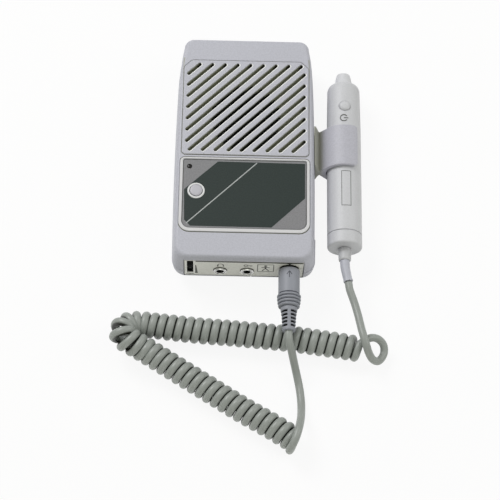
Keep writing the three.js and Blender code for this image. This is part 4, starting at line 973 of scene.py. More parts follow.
def namePlate():
    low, high = label["floor"], label["floor"] + label["thickness"]
    sheet = plate("namePlate", labelOutline(-case["gap"]), [(low, 0), (high - 0.08, 0), (high, -0.08)])
    cut(sheet, rod("z", button["at"], button["radius"] + case["gap"], low - 1, high + 1))
    cut(sheet, rod("z", lampSpot["at"], lampSpot["radius"] + case["gap"], low - 1, high + 1, 24))
    finished(sheet, "namePlate", "labelGrey", "main_unit", ["name_plate"])
    film = plate("labelFilm", filmOutline, [(high - 0.02, 0), (high + 0.04, 0)])
    cut(film, rod("z", button["at"], button["radius"] + case["gap"], low - 1, high + 1))
    finished(film, "labelFilm", "labelDark", "main_unit")

    def onLabel(u, v, h):
        return (u, v, high + 0.05 + h)

    line = ribbon("labelStripe", stripe["path"], stripe["width"], onLabel)
    finished(line, "labelStripe", "labelLine", "main_unit")


def ribbon(name, path, width, place, closed=False, low=-0.05, high=0.02):
    # a flat line along a path; place turns its two flat coordinates and its height into a point
    count = len(path)
    left, right = [], []
    for i in range(count):
        here = Vector(path[i])
        before = Vector(path[(i - 1) % count]) if closed or i > 0 else None
        after = Vector(path[(i + 1) % count]) if closed or i < count - 1 else None
        first = (here - before).normalized() if before is not None else (after - here).normalized()
        last = (after - here).normalized() if after is not None else first
        square = Vector((-first.y, first.x)), Vector((-last.y, last.x))
        side = (square[0] + square[1]) / (1 + square[0].dot(square[1])) * width / 2
        left.append(here + side)
        right.append(here - side)
    points, faces = [], []
    for a, b in zip(left, right):
        points += [place(*a, low), place(*a, high), place(*b, high), place(*b, low)]
    for i in range(count if closed else count - 1):
        a, b = 4 * i, 4 * ((i + 1) % count)
        for k in range(4):
            m = (k + 1) % 4
            faces.append((a + k, a + m, b + m, b + k))
    if not closed:
        last = 4 * (count - 1)
        faces += [(0, 1, 2, 3), (last + 3, last + 2, last + 1, last)]
    return meshObject(name, points, faces)


def arc(centre, radius, start, end, steps=16):
    points = []
    for i in range(steps + 1):
        angle = math.radians(start + (end - start) * i / steps)
        points.append((centre[0] + radius * math.cos(angle), centre[1] + radius * math.sin(angle)))
    return points


filmOutline = [
    (-14.7, -9.6), (-32.7, -26.9), (-32.2, -45.3), (-28.9, -48.8), (14.7, -48.9),
    (32.7, -31.0), (32.7, -9.9),
]
stripe = {"path": [(6.5, -10.1), (-31.1, -47.3)], "width": 0.55}
namePlate()


# rear shell and battery door, cut from one form

door = {
    "left": 4.6, "top": -1.0, "cornerLeft": 32.7, "cornerTop": -48.0, "proud": 0.45,
    "grips": 4, "gripFrom": -6.0, "gripPitch": 2.4, "gripLeft": 12.0, "gripRight": 26.0, "gripHalf": 0.4,
    "gripDepth": 0.5,
}


def backForm(name, proud=0.0):
    # proud: how far the sides stand out beyond the case's own outline
    inner = [(wall, 6.6, 5.0, 6.3), *(inward(level, wall) for level in backLevels[4:])]
    inner[-1] = (inner[-1][0] + far, *inner[-1][1:])
    share = [0, 0, 0.1, 0.9, 1, 1, 1, 0.3]
    levels = [*backLevels[:-1], (case["seam"] - 0.45, 0, 0, 0), (case["seam"] - 0.12, 0.25, 0.25, 0.25)]
    outer = [(z, side - proud * part, top, bottom) for (z, side, top, bottom), part in zip(levels, share)]
    return cut(caseLoft(name, outer), caseLoft("cavity", inner))


def doorRegion(grow):
    right, low = case["halfWidth"] + far, case["bottom"] - far
    back = box((door["left"] - grow, low, -far), (right, door["top"] + grow, wall + grow))
    corner = box(
        (door["cornerLeft"] - grow, low, -far), (right, door["cornerTop"] + grow, case["seam"] + grow)
    )
    end = box((door["left"] - grow, low, -far), (right, case["bottom"] + 6, panel["low"] - case["gap"]))
    return joined(back, corner, end)


def holderKey(grow=0):
    # the holder's tongue in the rear shell's side
    return box((36.0, 2 - grow, 11.2 - grow), (40.5, 8 + grow, 14.6 + grow))


def rearShell():
    g = case["gap"]
    shell = cut(backForm("rearShell"), doorRegion(g), *panelOpening())
    for at in screwPlaces:
        joined(shell, rod("z", at, screw["post"], 0.5, boardBase - g, 24))
        cut(shell, rod("z", at, screw["shank"] + 2 * g, -far, boardBase + far, 16))
        cut(shell, rod("z", at, screw["head"] + g, -far, screw["recess"], 32))
    cut(shell, holderKey(g))
    return finished(shell, "rearShell", "case", "main_unit", ["rear_shell"])


def batteryDoor():
    cover = combined(backForm("batteryDoor", door["proud"]), "INTERSECT", [doorRegion(0)])
    cut(cover, *panelOpening())
    for i in range(door["grips"]):
        y, half = door["gripFrom"] - door["gripPitch"] * i, door["gripHalf"]
        cut(cover, box((door["gripLeft"], y - half, -1), (door["gripRight"], y + half, door["gripDepth"])))
    return finished(cover, "batteryDoor", "case", "battery_cover", ["battery_door"])


rearShell()
batteryDoor()
print("rear shell and battery door made")


# end panel, with the marks moulded on it

wheel = {
    "x": -28.4, "y": -59.8, "z": 19.5, "radius": 8.2, "width": 2.4, "ridges": 40, "depth": 0.35,
    "slotLow": 11.8, "slotRoom": 0.5, "sillTop": 12.9,
}
jack = {
    "places": (-12.3, 2.2), "z": 15.0, "barrel": 2.6, "bore": 1.8, "nut": 3.5, "nutDepth": 0.7,
    "lining": 2.1, "washer": 0.3, "boxHalf": 3.7, "boxRise": 2.8, "boxDepth": 11, "boreDepth": 9.5,
}
plugAxis = (24.75, 18.6)
socketRing = {"inner": 5.15, "outer": 6.28, "barrel": 6.0, "depth": 0.7}


def onPanel(u, v, h):
    return (u, panel["face"] - h, v)


def endPanel():
    face, back = panel["face"], panel["back"]
    edge = roundedOutline(panel["left"], panel["low"], panel["right"], panel["high"], 0.5, 0.5, 4)
    sheet = plate("endPanel", edge, [(face, -0.25), (face + 0.25, 0), (back + 0.1, 0)], "y")
    lip = panel["lip"]
    flange = box(
        (panel["left"] - lip, back, panel["low"] - lip),
        (panel["right"] + lip, back + panel["flange"], panel["high"] + lip),
    )
    joined(sheet, flange)
    left = wheel["x"] - wheel["width"] / 2 - wheel["slotRoom"]
    right = wheel["x"] + wheel["width"] / 2 + wheel["slotRoom"]
    deep = back + panel["flange"] + far
    cut(sheet, box((left, face - far, wheel["slotLow"]), (right, deep, panel["high"] - 0.2)))
    sill = box(
        (left + 0.02, face + 0.25, wheel["slotLow"] + 0.02), (right - 0.02, face + 2.2, wheel["sillTop"])
    )
    finished(sill, "wheelSill", "wheel", "main_unit")
    for x in jack["places"]:
        cut(sheet, rod("y", (x, jack["z"]), jack["barrel"] + case["gap"], face - far, deep))
    cut(sheet, rod("y", plugAxis, socketRing["barrel"] + case["gap"], face - far, deep))
    finished(sheet, "endPanel", "panel", "main_unit", ["end_panel"])
    inner, outer = socketRing["inner"], socketRing["outer"]
    start, end = face - 0.02, face + socketRing["depth"]
    rim = turned("socketRim", [
        (inner, start), (outer, start), (outer, end), (inner, end), (inner, start),
    ], "y", plugAxis, 72)
    finished(rim, "socketRim", "panel", "main_unit")
    for name, path, width, closed, finish in panelMarks:
        mark = ribbon(name, path, width, onPanel, closed, low=-0.1, high=0.06)
        finished(mark, name, finish, "main_unit")
    for name, corners, finish in panelShapes:
        mark = plate(name, corners, [(face - 0.08, 0), (face + 0.1, 0)], "y")
        finished(mark, name, finish, "main_unit")


panelMarks = [
    ("wheelLeft", [(-30.55, 10.6), (-30.55, 25.8)], 0.8, False, "panelLight"),
    ("wheelRight", [(-26.3, 10.6), (-26.3, 25.8)], 0.7, False, "panelLight"),
    ("wheelFoot", [(-30.1, 11.1), (-26.7, 11.1)], 0.9, False, "panelLight"),
    ("wheelBar", [(-30.2, 10.1), (-26.6, 10.1)], 0.7, False, "markDark"),
    # painted shade: a dark line under the case's lip, where the gap above the panel lies in shade
    ("panelTop", [(-25.4, 25.45), (32.2, 25.45)], 1.0, False, "markDark"),
    ("headphoneBand", arc((-12.1, 21.4), 1.5, -40, 220), 0.45, False, "markDark"),
    ("lineRing", arc((1.5, 21.4), 1.0, 0, 342), 0.4, True, "markDark"),
    ("lineBar", [(2.7, 21.4), (5.0, 21.4)], 0.45, False, "markDark"),
    ("lineTick", [(4.2, 21.4), (4.2, 20.5)], 0.4, False, "markDark"),
    ("markFrame", [(7.8, 14.3), (16.4, 14.3), (16.4, 23.0), (7.8, 23.0)], 0.42, True, "markDark"),
    ("figureArms", [(9.9, 19.3), (12.1, 20.0), (14.3, 19.3)], 0.6, False, "markDark"),
    ("figureBody", [(12.1, 20.4), (12.1, 17.8)], 0.9, False, "markDark"),
    ("figureLegs", [(10.3, 15.4), (12.1, 18.2), (13.9, 15.4)], 0.6, False, "markDark"),
]
panelShapes = [
    ("volumeWedge", [(-25.7, 10.8), (-24.3, 10.8), (-25.2, 20.6), (-25.7, 20.6)], "markDark"),
    ("headphoneLeft", [(-14.0, 19.7), (-13.3, 19.7), (-13.3, 21.0), (-14.0, 21.0)], "markDark"),
    ("headphoneRight", [(-10.9, 19.7), (-10.2, 19.7), (-10.2, 21.0), (-10.9, 21.0)], "markDark"),
    ("figureHead", arc((12.1, 21.4), 0.75, 0, 337.5, 15), "markDark"),
    ("plugWedge", [(24.75, 23.8), (26.5, 25.3), (23.0, 25.3)], "black"),
]
endPanel()


def volumeWheel():
    # a disc, and one ridge set out round it by the tree
    profile = [
        (1.6, -0.5), (wheel["radius"] - 0.7, -0.5), (wheel["radius"] - 0.35, -0.38),
        (wheel["radius"] - 0.35, 0.38), (wheel["radius"] - 0.7, 0.5), (1.6, 0.5), (1.6, -0.5),
    ]
    wide = [(radius, wheel["x"] + share * wheel["width"]) for radius, share in profile]
    disc = turned("volumeWheel", wide, "x", (wheel["y"], wheel["z"]), 96)
    middle = pointObject("wheelMiddle", [(wheel["x"], wheel["y"], wheel["z"])])
    ridges.run(middle, {
        "Ridges": wheel["ridges"], "Radius": (wheel["radius"] - 0.3) * mm,
        "Width": wheel["width"] * 0.86 * mm, "Depth": 2 * wheel["depth"] * mm,
    })
    joined(disc, middle)
    finished(disc, "volumeWheel", "wheel", "wheel", ["volume_wheel"])


ridges = Steps("ridges", {
    "Ridges": "NodeSocketInt", "Radius": "NodeSocketFloat", "Width": "NodeSocketFloat",
    "Depth": "NodeSocketFloat",
})
circle = ridges.node("GeometryNodeMeshCircle", inputs={
    "Vertices": ridges.given("Ridges"), "Radius": ridges.given("Radius"),
})
upright = ridges.node("GeometryNodeTransform", inputs={"Geometry": circle, "Rotation": (0, math.pi / 2, 0)})
bar = ridges.node("ShaderNodeCombineXYZ", inputs={
    "X": ridges.given("Width"), "Y": ridges.given("Depth"), "Z": ridges.given("Depth"),
})
ridge = ridges.node("GeometryNodeMeshCube", inputs={"Size": bar})
spot = ridges.node("GeometryNodeInputPosition")
aim = ridges.node("FunctionNodeAlignRotationToVector", {"axis": "Z"}, {"Vector": spot})
spread = ridges.node("GeometryNodeInstanceOnPoints", inputs={
    "Points": upright, "Instance": ridge, "Rotation": aim,
})
allRidges = ridges.node("GeometryNodeRealizeInstances", inputs={0: spread})
centre = ridges.node("GeometryNodeInstanceOnPoints", inputs={
    "Points": ridges.given("Geometry"), "Instance": allRidges,
})
ridges.end(centre, finishes["wheel"], smooth=False)
volumeWheel()


def jackSet(name, x):
    back = panel["back"] + panel["flange"] + case["gap"]
    front = panel["face"] - case["gap"]
    axis, half = (x, jack["z"]), jack["boxHalf"]
    body = box((x - half, back, boardTop), (x + half, back + jack["boxDepth"], jack["z"] + jack["boxRise"]))
    cut(body, rod("y", axis, jack["bore"], back - 1, back + jack["boreDepth"]))
    finished(body, f"{name}Jack", "black", "main_unit", [f"{name}_jack"])
    outside, bore, lined = jack["barrel"], jack["bore"], jack["lining"]
    bushing = turned(f"{name}Bushing", [
        (lined + 0.03, back), (lined + 0.03, front - 0.45), (lined + 0.12, front - 0.58),
        (outside - 0.15, front - 0.6), (outside, front - 0.45), (outside, back), (lined + 0.03, back),
    ], "y", axis, 64)
    finished(bushing, f"{name}Bushing", "chrome", "main_unit")
    lining = turned(f"{name}Lining", [
        (bore, back), (bore, front - 0.35), (lined, front - 0.35), (lined, back), (bore, back),
    ], "y", axis, 48)
    finished(lining, f"{name}Lining", "wheel", "main_unit")
    inner, outer, depth = jack["barrel"] + case["gap"], jack["nut"], jack["nutDepth"]
    foot = panel["face"]
    # the dark washer is partly a real washer and partly painted shade round the nut's foot
    washer = turned(f"{name}Washer", [
        (inner, foot - 0.02), (outer + jack["washer"], foot - 0.02), (outer + jack["washer"], front + 0.03),
        (inner, front + 0.03), (inner, foot - 0.02),
    ], "y", axis, 64)
    finished(washer, f"{name}Washer", "markDark", "main_unit")
    nut = turned(f"{name}Nut", [
        (inner, front), (outer, front), (outer, front - 0.6 * depth), (outer - 0.12, front - 0.85 * depth),
        (outer - 0.35, front - depth), (inner + 0.15, front - depth), (inner, front - 0.85 * depth),
        (inner, front),
    ], "y", axis, 64)
    finished(nut, f"{name}Nut", "chrome", "main_unit", [f"{name}_nut"])


jackSet("headphone", jack["places"][0])
jackSet("line", jack["places"][1])
print("end panel, wheel and jacks made")


# calibrate button and lamp

def frontControls():
    r, top, foot = button["radius"], button["top"], button["foot"]
    cap = turned("calibrateButton", [
        (0, foot), (r + 0.9, foot), (r + 0.9, foot + 0.7), (r, foot + 0.7), (r, top - 0.55),
        (r - 0.12, top - 0.3), (r - 0.45, top - 0.1), (r - 1.0, top - 0.03), (0, top),
    ], "z", button["at"], 64)
    finished(cap, "calibrateButton", "button", "calibrate_key", ["calibrate_button"])
    low = label["floor"] + label["thickness"]
    rise, inner, outer = button["ringRise"], r + case["gap"], button["ring"]
    ring = turned("buttonRing", [
        (inner, low), (outer, low), (outer, low + 0.35 * rise), (outer - 0.12, low + 0.75 * rise),
        (outer - 0.4, low + rise), (inner + 0.2, low + rise), (inner, low + 0.8 * rise), (inner, low),
    ], "z", button["at"], 64)
    finished(ring, "buttonRing", "white", "main_unit", ["button_bezel"])
    r, top, foot = lampSpot["radius"], low + 0.25, 25.1
    lens = [(0, foot), (r, foot), (r, top - 0.35)]
    for degrees in (25, 50, 70):
        angle = math.radians(degrees)
        lens.append((r * math.cos(angle), top - 0.35 + 0.35 * math.sin(angle)))
    lamp = turned("powerLamp", [*lens, (0, top)], "z", lampSpot["at"], 32)
    finished(lamp, "powerLamp", "lamp", "main_unit", ["power_lamp"])


frontControls()


# case screws: one head with a cross in it, set out on four points

def screwSeed():
    head = turned("screwSeed", [
        (0, 0.4), (1.5, 0.42), (2.1, 0.62), (2.4, 0.95), (screw["head"], 1.4), (screw["head"], 2.1),
        (screw["shank"], 2.1), (screw["shank"], 16.4), (0, 17.4),
    ], "z", (0, 0), 40)
    cut(head, box((-1.4, -0.25, -1), (1.4, 0.25, 1.3)))
    cut(head, box((-0.25, -1.4, -1), (0.25, 1.4, 1.3)))
    return head


screwRow = Steps("screwRow", {"Seed": "NodeSocketObject"})
seed = screwRow.node("GeometryNodeObjectInfo", inputs={"Object": screwRow.given("Seed")}, output="Geometry")
turnBy = screwRow.node(
    "FunctionNodeRandomValue", {"data_type": "FLOAT"}, {2: 0.0, 3: 3.0, "Seed": 4}, output=1
)
spin = screwRow.node("ShaderNodeCombineXYZ", inputs={"Z": turnBy})
screwRow.end(screwRow.node("GeometryNodeInstanceOnPoints", inputs={
    "Points": screwRow.given("Geometry"), "Instance": seed, "Rotation": spin,
}), finishes["steel"], smooth=False)
seedObject = screwSeed()
screws = pointObject("caseScrews", [(x, y, 0) for x, y in screwPlaces])
screwRow.run(screws, {"Seed": seedObject})
bpy.data.objects.remove(seedObject)
finished(screws, "caseScrews", "steel", "main_unit", [f"case_screw_{i}" for i in (1, 2, 3, 4)])
print("front controls and screws made")


# plug: body with an arrow, ribbed grip and slotted strain relief

plug = {
    "front": -67.2, "neckRadius": 5.0, "bodyStart": -68.6, "bodyRadius": 5.75, "bodyEnd": -82.7,
    "gripStart": -83.0, "gripEnd": -90.3, "ribs": 4, "ribRadius": 6.45,
    "reliefStart": -90.6, "reliefEnd": -103.9, "slots": 5, "slotPitch": 2.0, "slotWidth": 1.3, "spine": 1.7,
    "slotsFrom": -93.45, "reliefSkin": 0.8,
}


def onPlug(u, v, h):
    return (plugAxis[0] + u, v, plugAxis[1] + math.sqrt((plug["bodyRadius"] + h) ** 2 - u * u))


def fine(path, step=0.4):
    # the path with points close enough together to bend over a round piece
    points = []
    for a, b in zip(path, path[1:]):
        a, b = Vector(a), Vector(b)
        count = max(1, math.ceil((b - a).length / step))
        points += [tuple(a.lerp(b, i / count)) for i in range(count)]
    return [*points, tuple(path[-1])]


def plugBody():
    r, front, back = plug["bodyRadius"], plug["bodyStart"], plug["bodyEnd"]
    body = turned("plugBody", [
        (0, front), (r - 0.75, front), (r - 0.3, front - 0.1), (r - 0.07, front - 0.35), (r, front - 0.8),
        (r, back + 0.3), (r - 0.12, back + 0.08), (r - 0.35, back), (0, back),
    ], "y", plugAxis, 72)
    finished(body, "plugBody", "plug", "plug", ["plug_body"])
    # the neck is painted black as shade in the gap between the plug's body and the panel
    neck = rod("y", plugAxis, plug["neckRadius"], plug["front"], front - 0.02, 64)
    finished(neck, "plugNeck", "wheel", "plug")
    arrow = [
        ("arrowStem", [(0, -75.0), (0, -71.5)]),
        ("arrowLeft", [(-1.4, -73.2), (0, -71.2)]),
        ("arrowRight", [(1.4, -73.2), (0, -71.2)]),
    ]
    for name, path in arrow:
        mark = ribbon(name, fine(path), 0.45, onPlug, low=-0.1, high=0.04)
        finished(mark, name, "plugMark", "plug")


def plugGrip():
    start, end = plug["gripStart"], plug["gripEnd"]
    pitch = (start - end) / plug["ribs"]
    profile = [(0, start), (plug["bodyRadius"] - 0.15, start), (plug["bodyRadius"], start - 0.15)]
    for i in range(plug["ribs"]):
        high = start - 0.15 * pitch - i * pitch
        rib = plug["ribRadius"] - 0.07 * i * i
        for share, drop in ((0.0, 1.1), (0.08, 0.55), (0.18, 0.2), (0.3, 0.04), (0.44, 0), (0.6, 0.06),
                            (0.72, 0.25), (0.8, 0.6), (0.82, 1.1)):
            profile.append((rib - drop, high - share * pitch))
    profile += [(4.6, end + 0.1), (4.5, end), (0, end)]
    finished(turned("plugGrip", profile, "y", plugAxis, 72), "plugGrip", "plug", "plug", ["plug_grip"])


reliefSlots = Steps("reliefSlots", {
    "Slots": "NodeSocketInt", "Pitch": "NodeSocketFloat", "Width": "NodeSocketFloat",
    "Spine": "NodeSocketFloat", "Reach": "NodeSocketFloat",
})
reach = reliefSlots.given("Reach")
blockSize = reliefSlots.node("ShaderNodeCombineXYZ", inputs={
    "X": reach, "Y": reliefSlots.given("Width"), "Z": reach * 2,
})
block = reliefSlots.node("GeometryNodeMeshCube", inputs={"Size": blockSize})
stepBack = reliefSlots.node("ShaderNodeCombineXYZ", inputs={"Y": reliefSlots.given("Pitch") * -1})
row = reliefSlots.node("GeometryNodeMeshLine", inputs={
    "Count": reliefSlots.given("Slots"), "Offset": stepBack,
})
column = reliefSlots.node("GeometryNodeRealizeInstances", inputs={
    0: reliefSlots.node("GeometryNodeInstanceOnPoints", inputs={"Points": row, "Instance": block}),
})
away = reliefSlots.given("Spine") / 2 + reach / 2
sides = []
for side in (-1, 1):
    shiftTo = reliefSlots.node("ShaderNodeCombineXYZ", inputs={"X": away * side})
    sides.append(reliefSlots.node("GeometryNodeTransform", inputs={
        "Geometry": column, "Translation": shiftTo,
    }))
both = reliefSlots.node("GeometryNodeJoinGeometry", inputs={0: sides[0]})
reliefSlots.tree.links.new(sides[1].socket, both.socket.node.inputs[0])
reliefSlots.end(reliefSlots.node("GeometryNodeInstanceOnPoints", inputs={
    "Points": reliefSlots.given("Geometry"), "Instance": both,
}), finishes["plug"], smooth=False)


def plugRelief():
    start, end, skin = plug["reliefStart"], plug["reliefEnd"], plug["reliefSkin"]
    reach = [(4.5, start - 1.2), (3.95, start - 4.8), (3.6, end + 2.4)]
    shell = turned("plugRelief", [
        (0, start), (4.3, start), (4.5, start - 0.25), *reach, (3.55, end + 1.9), (3.6, end + 1.6),
        (3.6, end + 0.5), (3.45, end + 0.12), (3.2, end), (0, end),
    ], "y", plugAxis, 64)
    cutters = pointObject("reliefCutters", [(plugAxis[0], plug["slotsFrom"], plugAxis[1])])
    reliefSlots.run(cutters, {
        "Slots": plug["slots"], "Pitch": plug["slotPitch"] * mm, "Width": plug["slotWidth"] * mm,
        "Spine": plug["spine"] * mm, "Reach": 6 * mm,
    })
    cut(shell, cutters)

    # the core is painted black as shade seen through the relief's slots
    def core(grow):
        inside = [(radius - skin + grow, place) for radius, place in reach]
        high, low = start - 1.2 + grow, end + 1.2 - grow
        profile = [(0, high), (inside[0][0], high), *inside[1:], (inside[-1][0], low), (0, low)]
        return turned("reliefCore", profile, "y", plugAxis, 48)

    cut(shell, core(0.02))
    finished(shell, "plugRelief", "plug", "plug", ["plug_relief"])
    finished(core(0), "reliefCore", "wheel", "plug")


plugBody()
plugGrip()
plugRelief()
print("plug made")


# probe: tapered tip, round shoulder, button, end cap, collar and sleeve

probe = {
    "x": 55.0, "z": 15.0, "radius": 9.5, "bore": 7.7, "bottom": -53.4, "capTop": -45.9,
    "shoulder": 43.6, "top": 47.7, "slimFrom": 17.8, "slim": 0.4,
    "tipSeat": 5.8, "tipBase": 5.15, "tipEnd": 3.8, "tipLength": 7.1, "tipBore": 3.2,
    "tipFace": 1.3, "buttonY": 30.6, "buttonRadius": 3.1, "buttonTop": 25.5, "buttonFoot": 20.6,
    "collarTop": -53.7, "collarEnd": -60.5, "collarRadius": 3.6,
}
probeAxis = (probe["x"], probe["z"])


def onProbe(u, v, h):
    return (probe["x"] + u, v, probe["z"] + math.sqrt((probe["radius"] + h) ** 2 - u * u))


def probeBody():
    r, bore, low, top = probe["radius"], probe["bore"], probe["capTop"] + case["gap"], probe["top"]
    base, start = probe["tipSeat"], probe["shoulder"]
    profile = [(bore, low), (r - 0.15, low), (r, low + 0.15), (r, probe["slimFrom"])]
    r -= probe["slim"]
    profile.append((r, start - 0.4))
    for i in range(1, 11):
        angle = math.pi / 2 * i / 10.5
        profile.append((r - (r - base) * (1 - math.cos(angle)), start + (top - start) * math.sin(angle)))
    inside = start - 1.3
    profile += [(base, top), (base - 0.9, top), (base - 0.9, inside), (bore, inside - 2), (bore, low)]
    body = turned("probeBody", profile, "y", probeAxis, 80)
    place = (probe["x"], probe["buttonY"])
    cut(body, rod("z", place, probe["buttonRadius"] + 0.15, probe["z"], probe["z"] + 2 * r))
    finished(body, "probeBody", "probe", "probe", ["probe_body"])


def probeTip():
    base, end, top = probe["tipBase"], probe["tipEnd"], probe["top"]
    last = top + case["gap"] + probe["tipLength"]
    stem, inside = probe["tipSeat"] - 0.9 - case["gap"], probe["shoulder"] - 1.3
    face, bore = last - probe["tipFace"], probe["tipBore"]
    tip = turned("probeTip", [
        (bore, inside - 3), (stem + 1.3, inside - 3), (stem + 1.3, inside - 1.2), (stem, inside - 1.2),
        (stem, top - 0.3), (base, top - 0.3), (base, top + 0.5), (end + 0.12, last - 0.75),
        (end - 0.02, last - 0.3), (end - 0.25, last - 0.08), (end - 0.55, last),
        (0, last), (0, face), (bore, face), (bore, inside - 3),
    ], "y", probeAxis, 64)
    finished(tip, "probeTip", "tip", "probe", ["probe_tip"])


def probeButton():
    r, top, foot = probe["buttonRadius"], probe["buttonTop"], probe["buttonFoot"]
    rise = 1.6
    profile = [(0, foot), (r + 0.6, foot), (r + 0.6, foot + 0.5), (r, foot + 0.5), (r, top - rise)]
    for i in range(1, 9):
        angle = math.pi / 2 * i / 9
        profile.append((r * math.cos(angle) ** 0.75, top - rise + rise * math.sin(angle)))
    cap = turned("probeButton", [*profile, (0, top)], "z", (probe["x"], probe["buttonY"]), 56)
    finished(cap, "probeButton", "probe", "probe_key", ["probe_button"])


def probeMarks():
    # the marks are read from the probe's right side
    power = arc((-0.5, 22.9), 1.95, 35, 325, 28)
    frameCorners = [(-2.0, -31.3), (3.0, -31.3), (3.0, -10.3), (-2.0, -10.3), (-2.0, -31.3)]
    lines = [
        ("powerRing", power, 0.55, False),
        ("powerBar", fine([(-0.5, 22.9), (2.0, 22.9)]), 0.45, False),
        ("nameFrame", fine(frameCorners)[:-1], 0.3, True),
    ]
    for name, path, width, closed in lines:
        mark = ribbon(name, path, width, onProbe, closed, low=-0.15, high=0.05)
        finished(mark, name, "probeMark", "probe")


def probeEnd():
    r, low, top = probe["radius"], probe["bottom"], probe["capTop"]
    spigot = probe["bore"] - case["gap"]
    cap = turned("probeEndCap", [
        (0, low), (r - 1.3, low), (r - 0.75, low + 0.1), (r - 0.3, low + 0.4), (r - 0.06, low + 0.8),
        (r, low + 1.3), (r, top - 0.15), (r - 0.15, top), (spigot, top), (spigot, top + 5), (0, top + 5),
    ], "y", probeAxis, 80)
    finished(cap, "probeEndCap", "probe", "probe", ["probe_end_cap"])
    r, top, end = probe["collarRadius"], probe["collarTop"], probe["collarEnd"]
    collar = turned("cordCollar", [
        (0, top), (r, top), (r, top - 0.8), (r - 0.2, end + 0.9), (r - 0.3, end + 0.35), (r - 0.55, end),
        (0, end),
    ], "y", probeAxis, 56)
    finished(collar, "cordCollar", "collar", "probe", ["cord_collar"])


def cordSleeve():
    route = [(55.0, -60.6, 15), (55.2, -64.5, 15), (55.9, -68.5, 15), (56.8, -72.7, 15)]
    path = splinePoints(route, 0, 3, 6)
    count = len(path) - 1
    widths = [1 - 0.1 * i / count for i in range(count - 1)] + [0.97, 0.97]
    sleeve = wireObject("cordSleeve", path, widths)
    jacket.run(sleeve, {"Diameter": 5.3 * mm, "Sides": 32})
    finished(sleeve, "cordSleeve", "sleeve", "probe", ["cord_sleeve"])


probeBody()
probeTip()
probeButton()
probeMarks()
probeEnd()
cordSleeve()
print("probe made")


# holder: an open ring round the probe, joined to the case by a waisted root

holder = {
    "inner": 9.8, "outer": 12.0, "low": -7.4, "high": 17.4, "mouthAbove": 55, "mouthBelow": -50,
    "cornerRound": 2.3, "edgeRound": 0.5, "valleyX": 41.4, "valleyHalf": 2.5, "meets": 140, "steps": 56,
}


def holderBand():
    low, high = holder["low"], holder["high"]
    corner, soft = holder["cornerRound"], holder["edgeRound"]
    depths = [0, 0.12, 0.3, 0.5, 0.8, 1.2, 1.8]
    slices = [(low + d, d) for d in depths] + [(high - d, d) for d in reversed(depths)]
    rings = []
    for y, depth in slices:
        shrink = corner - math.sqrt(max(0, corner ** 2 - (corner - min(depth, corner)) ** 2))
        lean = math.degrees(shrink / holder["outer"])
        edge = soft - math.sqrt(max(0, soft ** 2 - (soft - min(depth, soft)) ** 2))
        start, end = holder["mouthAbove"] + lean, 360 + holder["mouthBelow"] - lean
        outer = arc(probeAxis, holder["outer"] - edge, start, end, holder["steps"])
        inner = arc(probeAxis, holder["inner"] + 0.9 * edge, start, end, holder["steps"])
        rings.append([(px, y, pz) for px, pz in [*outer, *reversed(inner)]])
    count = len(rings[0])
    faces = sideFaces(rings)
    for base in (0, (len(rings) - 1) * count):
        for i in range(holder["steps"]):
            faces.append((base + i, base + i + 1, base + count - 2 - i, base + count - 1 - i))
    return meshObject("probeHolder", [p for ring in rings for p in ring], faces)


def holderRoot():
    x, z = probeAxis
    meets = holder["meets"]
    middle = (holder["inner"] + holder["outer"]) / 2
    edge = holder["outer"] - 0.03

    def onRing(radius, degrees):
        return (x + radius * math.cos(math.radians(degrees)), radius * math.sin(math.radians(degrees)))

    touch = [onRing(edge, degrees) for degrees in (meets - 6, meets)]
    valley = (holder["valleyX"], holder["valleyHalf"])
    side = case["halfWidth"]
    upper = [*touch]
    for t in (0.25, 0.5, 0.75, 0.9):
        a, b = Vector(touch[1]), Vector(valley)
        upper.append(tuple(a.lerp(b, t)))
    upper += [
        valley, (valley[0] - 0.7, valley[1] + 0.9), (side + 1.3, 5.4), (side + 0.75, 7.4), (side + 0.2, 8.8),
        (side - 1.5, 9.5),
    ]
    wrap = [onRing(middle, degrees) for degrees in range(220, 139, -8)]
    lower = [(px, -pz) for px, pz in reversed(upper)]
    ring = [(px, z + pz) for px, pz in [*upper, *lower, *wrap]]
    low, high, soft = holder["low"], holder["high"], 0.35
    return plate("holderRoot", ring, [(low, -soft), (low + soft, 0), (high - soft, 0), (high, -soft)], "y")


def probeHolder():
    body = joined(holderBand(), holderRoot())
    g = case["gap"]
    grown = [(-far, *(-g,) * 3), *(inward(level, -g) for level in backLevels[4:])]
    grown += [inward(level, -g) for level in frontLevels[2:]]
    cut(body, caseLoft("caseRoom", grown))
    joined(body, holderKey())
    finished(body, "probeHolder", "holder", "main_unit", ["probe_holder"])


probeHolder()
print("holder made")


# camera, light and floor, in metres

view = {
    "target": (0.0034, -0.0625, 0.0305),
    "distance": 1.0,
    "azimuth": -1.964,
    "elevation": 64.622,
    "roll": 3.037,
    "lens": 135.3,
}


def placeCamera(view):
    a, e, r = (math.radians(view[key]) for key in ("azimuth", "elevation", "roll"))
    back = Vector((math.sin(a) * math.cos(e), -math.cos(a) * math.cos(e), math.sin(e)))
    right = Vector((math.cos(a), math.sin(a), 0))
    up = back.cross(right)
    columns = (
        math.cos(r) * right + math.sin(r) * up,
        -math.sin(r) * right + math.cos(r) * up,
        back,
    )
    turn = Matrix(columns).transposed().to_4x4()
    camera = placed("camera", bpy.data.cameras.new("camera"))
    camera.data.lens = view["lens"]
    camera.data.sensor_width = 36
    camera.data.clip_start = 0.05
    camera.matrix_world = Matrix.Translation(Vector(view["target"]) + back * view["distance"]) @ turn
    bpy.context.scene.camera = camera


placeCamera(view)

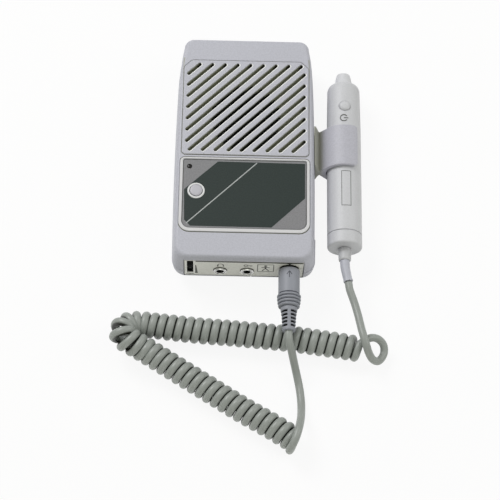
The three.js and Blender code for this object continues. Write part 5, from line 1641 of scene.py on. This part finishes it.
lamps = {
    "window": {"at": (-0.72, 0.66, 1.12), "size": 0.7, "power": 12.0, "tint": (0.985, 0.98, 1.0)},
    "fill": {"at": (0.9, 0.1, 0.8), "size": 0.8, "power": 3.5, "tint": (0.985, 0.985, 1.0)},
    "front": {"at": (0.1, -1.3, 0.3), "size": 0.7, "power": 2.2, "tint": (1.0, 1.0, 0.95)},
}
for name, lamp in lamps.items():
    light = bpy.data.lights.new(name, "AREA")
    light.size = lamp["size"]
    light.energy = lamp["power"]
    light.color = lamp["tint"]
    obj = placed(name, light)
    obj.location = lamp["at"]
    away = Vector(lamp["at"]) - Vector(view["target"])
    obj.rotation_euler = away.to_track_quat("Z", "Y").to_euler()

scenery = {"sky": 0.38, "skyTint": (1.0, 1.0, 0.9, 1), "floorShare": 0.1, "floorSize": 6.0}
world = bpy.data.worlds.new("room")
bpy.context.scene.world = world
world.use_nodes = True
room = Tree()
room.tree = world.node_tree
room.tree.nodes.clear()
path = room.node("ShaderNodeLightPath", output="Is Camera Ray")
sky = room.node("ShaderNodeBackground", inputs={0: scenery["skyTint"], 1: scenery["sky"]})
blank = room.node("ShaderNodeBackground", inputs={0: (1, 1, 1, 1), 1: 1.0})
seen = room.node("ShaderNodeMixShader", inputs={0: path, 1: sky, 2: blank})
room.node("ShaderNodeOutputWorld", inputs={"Surface": seen})

paperFloor = Finish("paperFloor")
diffuse = paperFloor.node("ShaderNodeBsdfDiffuse", inputs={0: (0.9, 0.9, 0.9, 1)})
glow = paperFloor.node("ShaderNodeEmission", inputs={0: (1, 1, 1, 1), 1: 1.0})
camera = paperFloor.node("ShaderNodeLightPath", output="Is Camera Ray")
glossy = paperFloor.node("ShaderNodeLightPath", output="Is Glossy Ray")
through = paperFloor.node("ShaderNodeLightPath", output="Is Transmission Ray")
share = (camera + glossy + through) * (1 - scenery["floorShare"])
paperFloor.end(paperFloor.node("ShaderNodeMixShader", inputs={0: share, 1: diffuse, 2: glow}))
half = scenery["floorSize"] / 2
mesh = bpy.data.meshes.new("floor")
low = -0.05 * mm
corners = [(-half, -half, low), (half, -half, low), (half, half, low), (-half, half, low)]
mesh.from_pydata(corners, [], [(0, 1, 2, 3)])
mesh.materials.append(paperFloor.material)
floor = placed("floor", mesh)
bpy.context.scene.view_settings.view_transform = "Standard"
print("camera, light and floor placed")


# the plug's pieces listed, and the cords' lengths and points worked out

plugPieces = ["plugNeck", "plugBody", "plugGrip", "plugRelief", "reliefCore"]
plugPieces += ["arrowStem", "arrowLeft", "arrowRight", *(nodes[name] for name in ("plug_shell", "plug_pins"))]
runLength(probeRun)
[p * mm for p in probeRun]
tuple(plugRun[0] * mm)
runLength(plugRun)
[p * mm for p in plugRun]
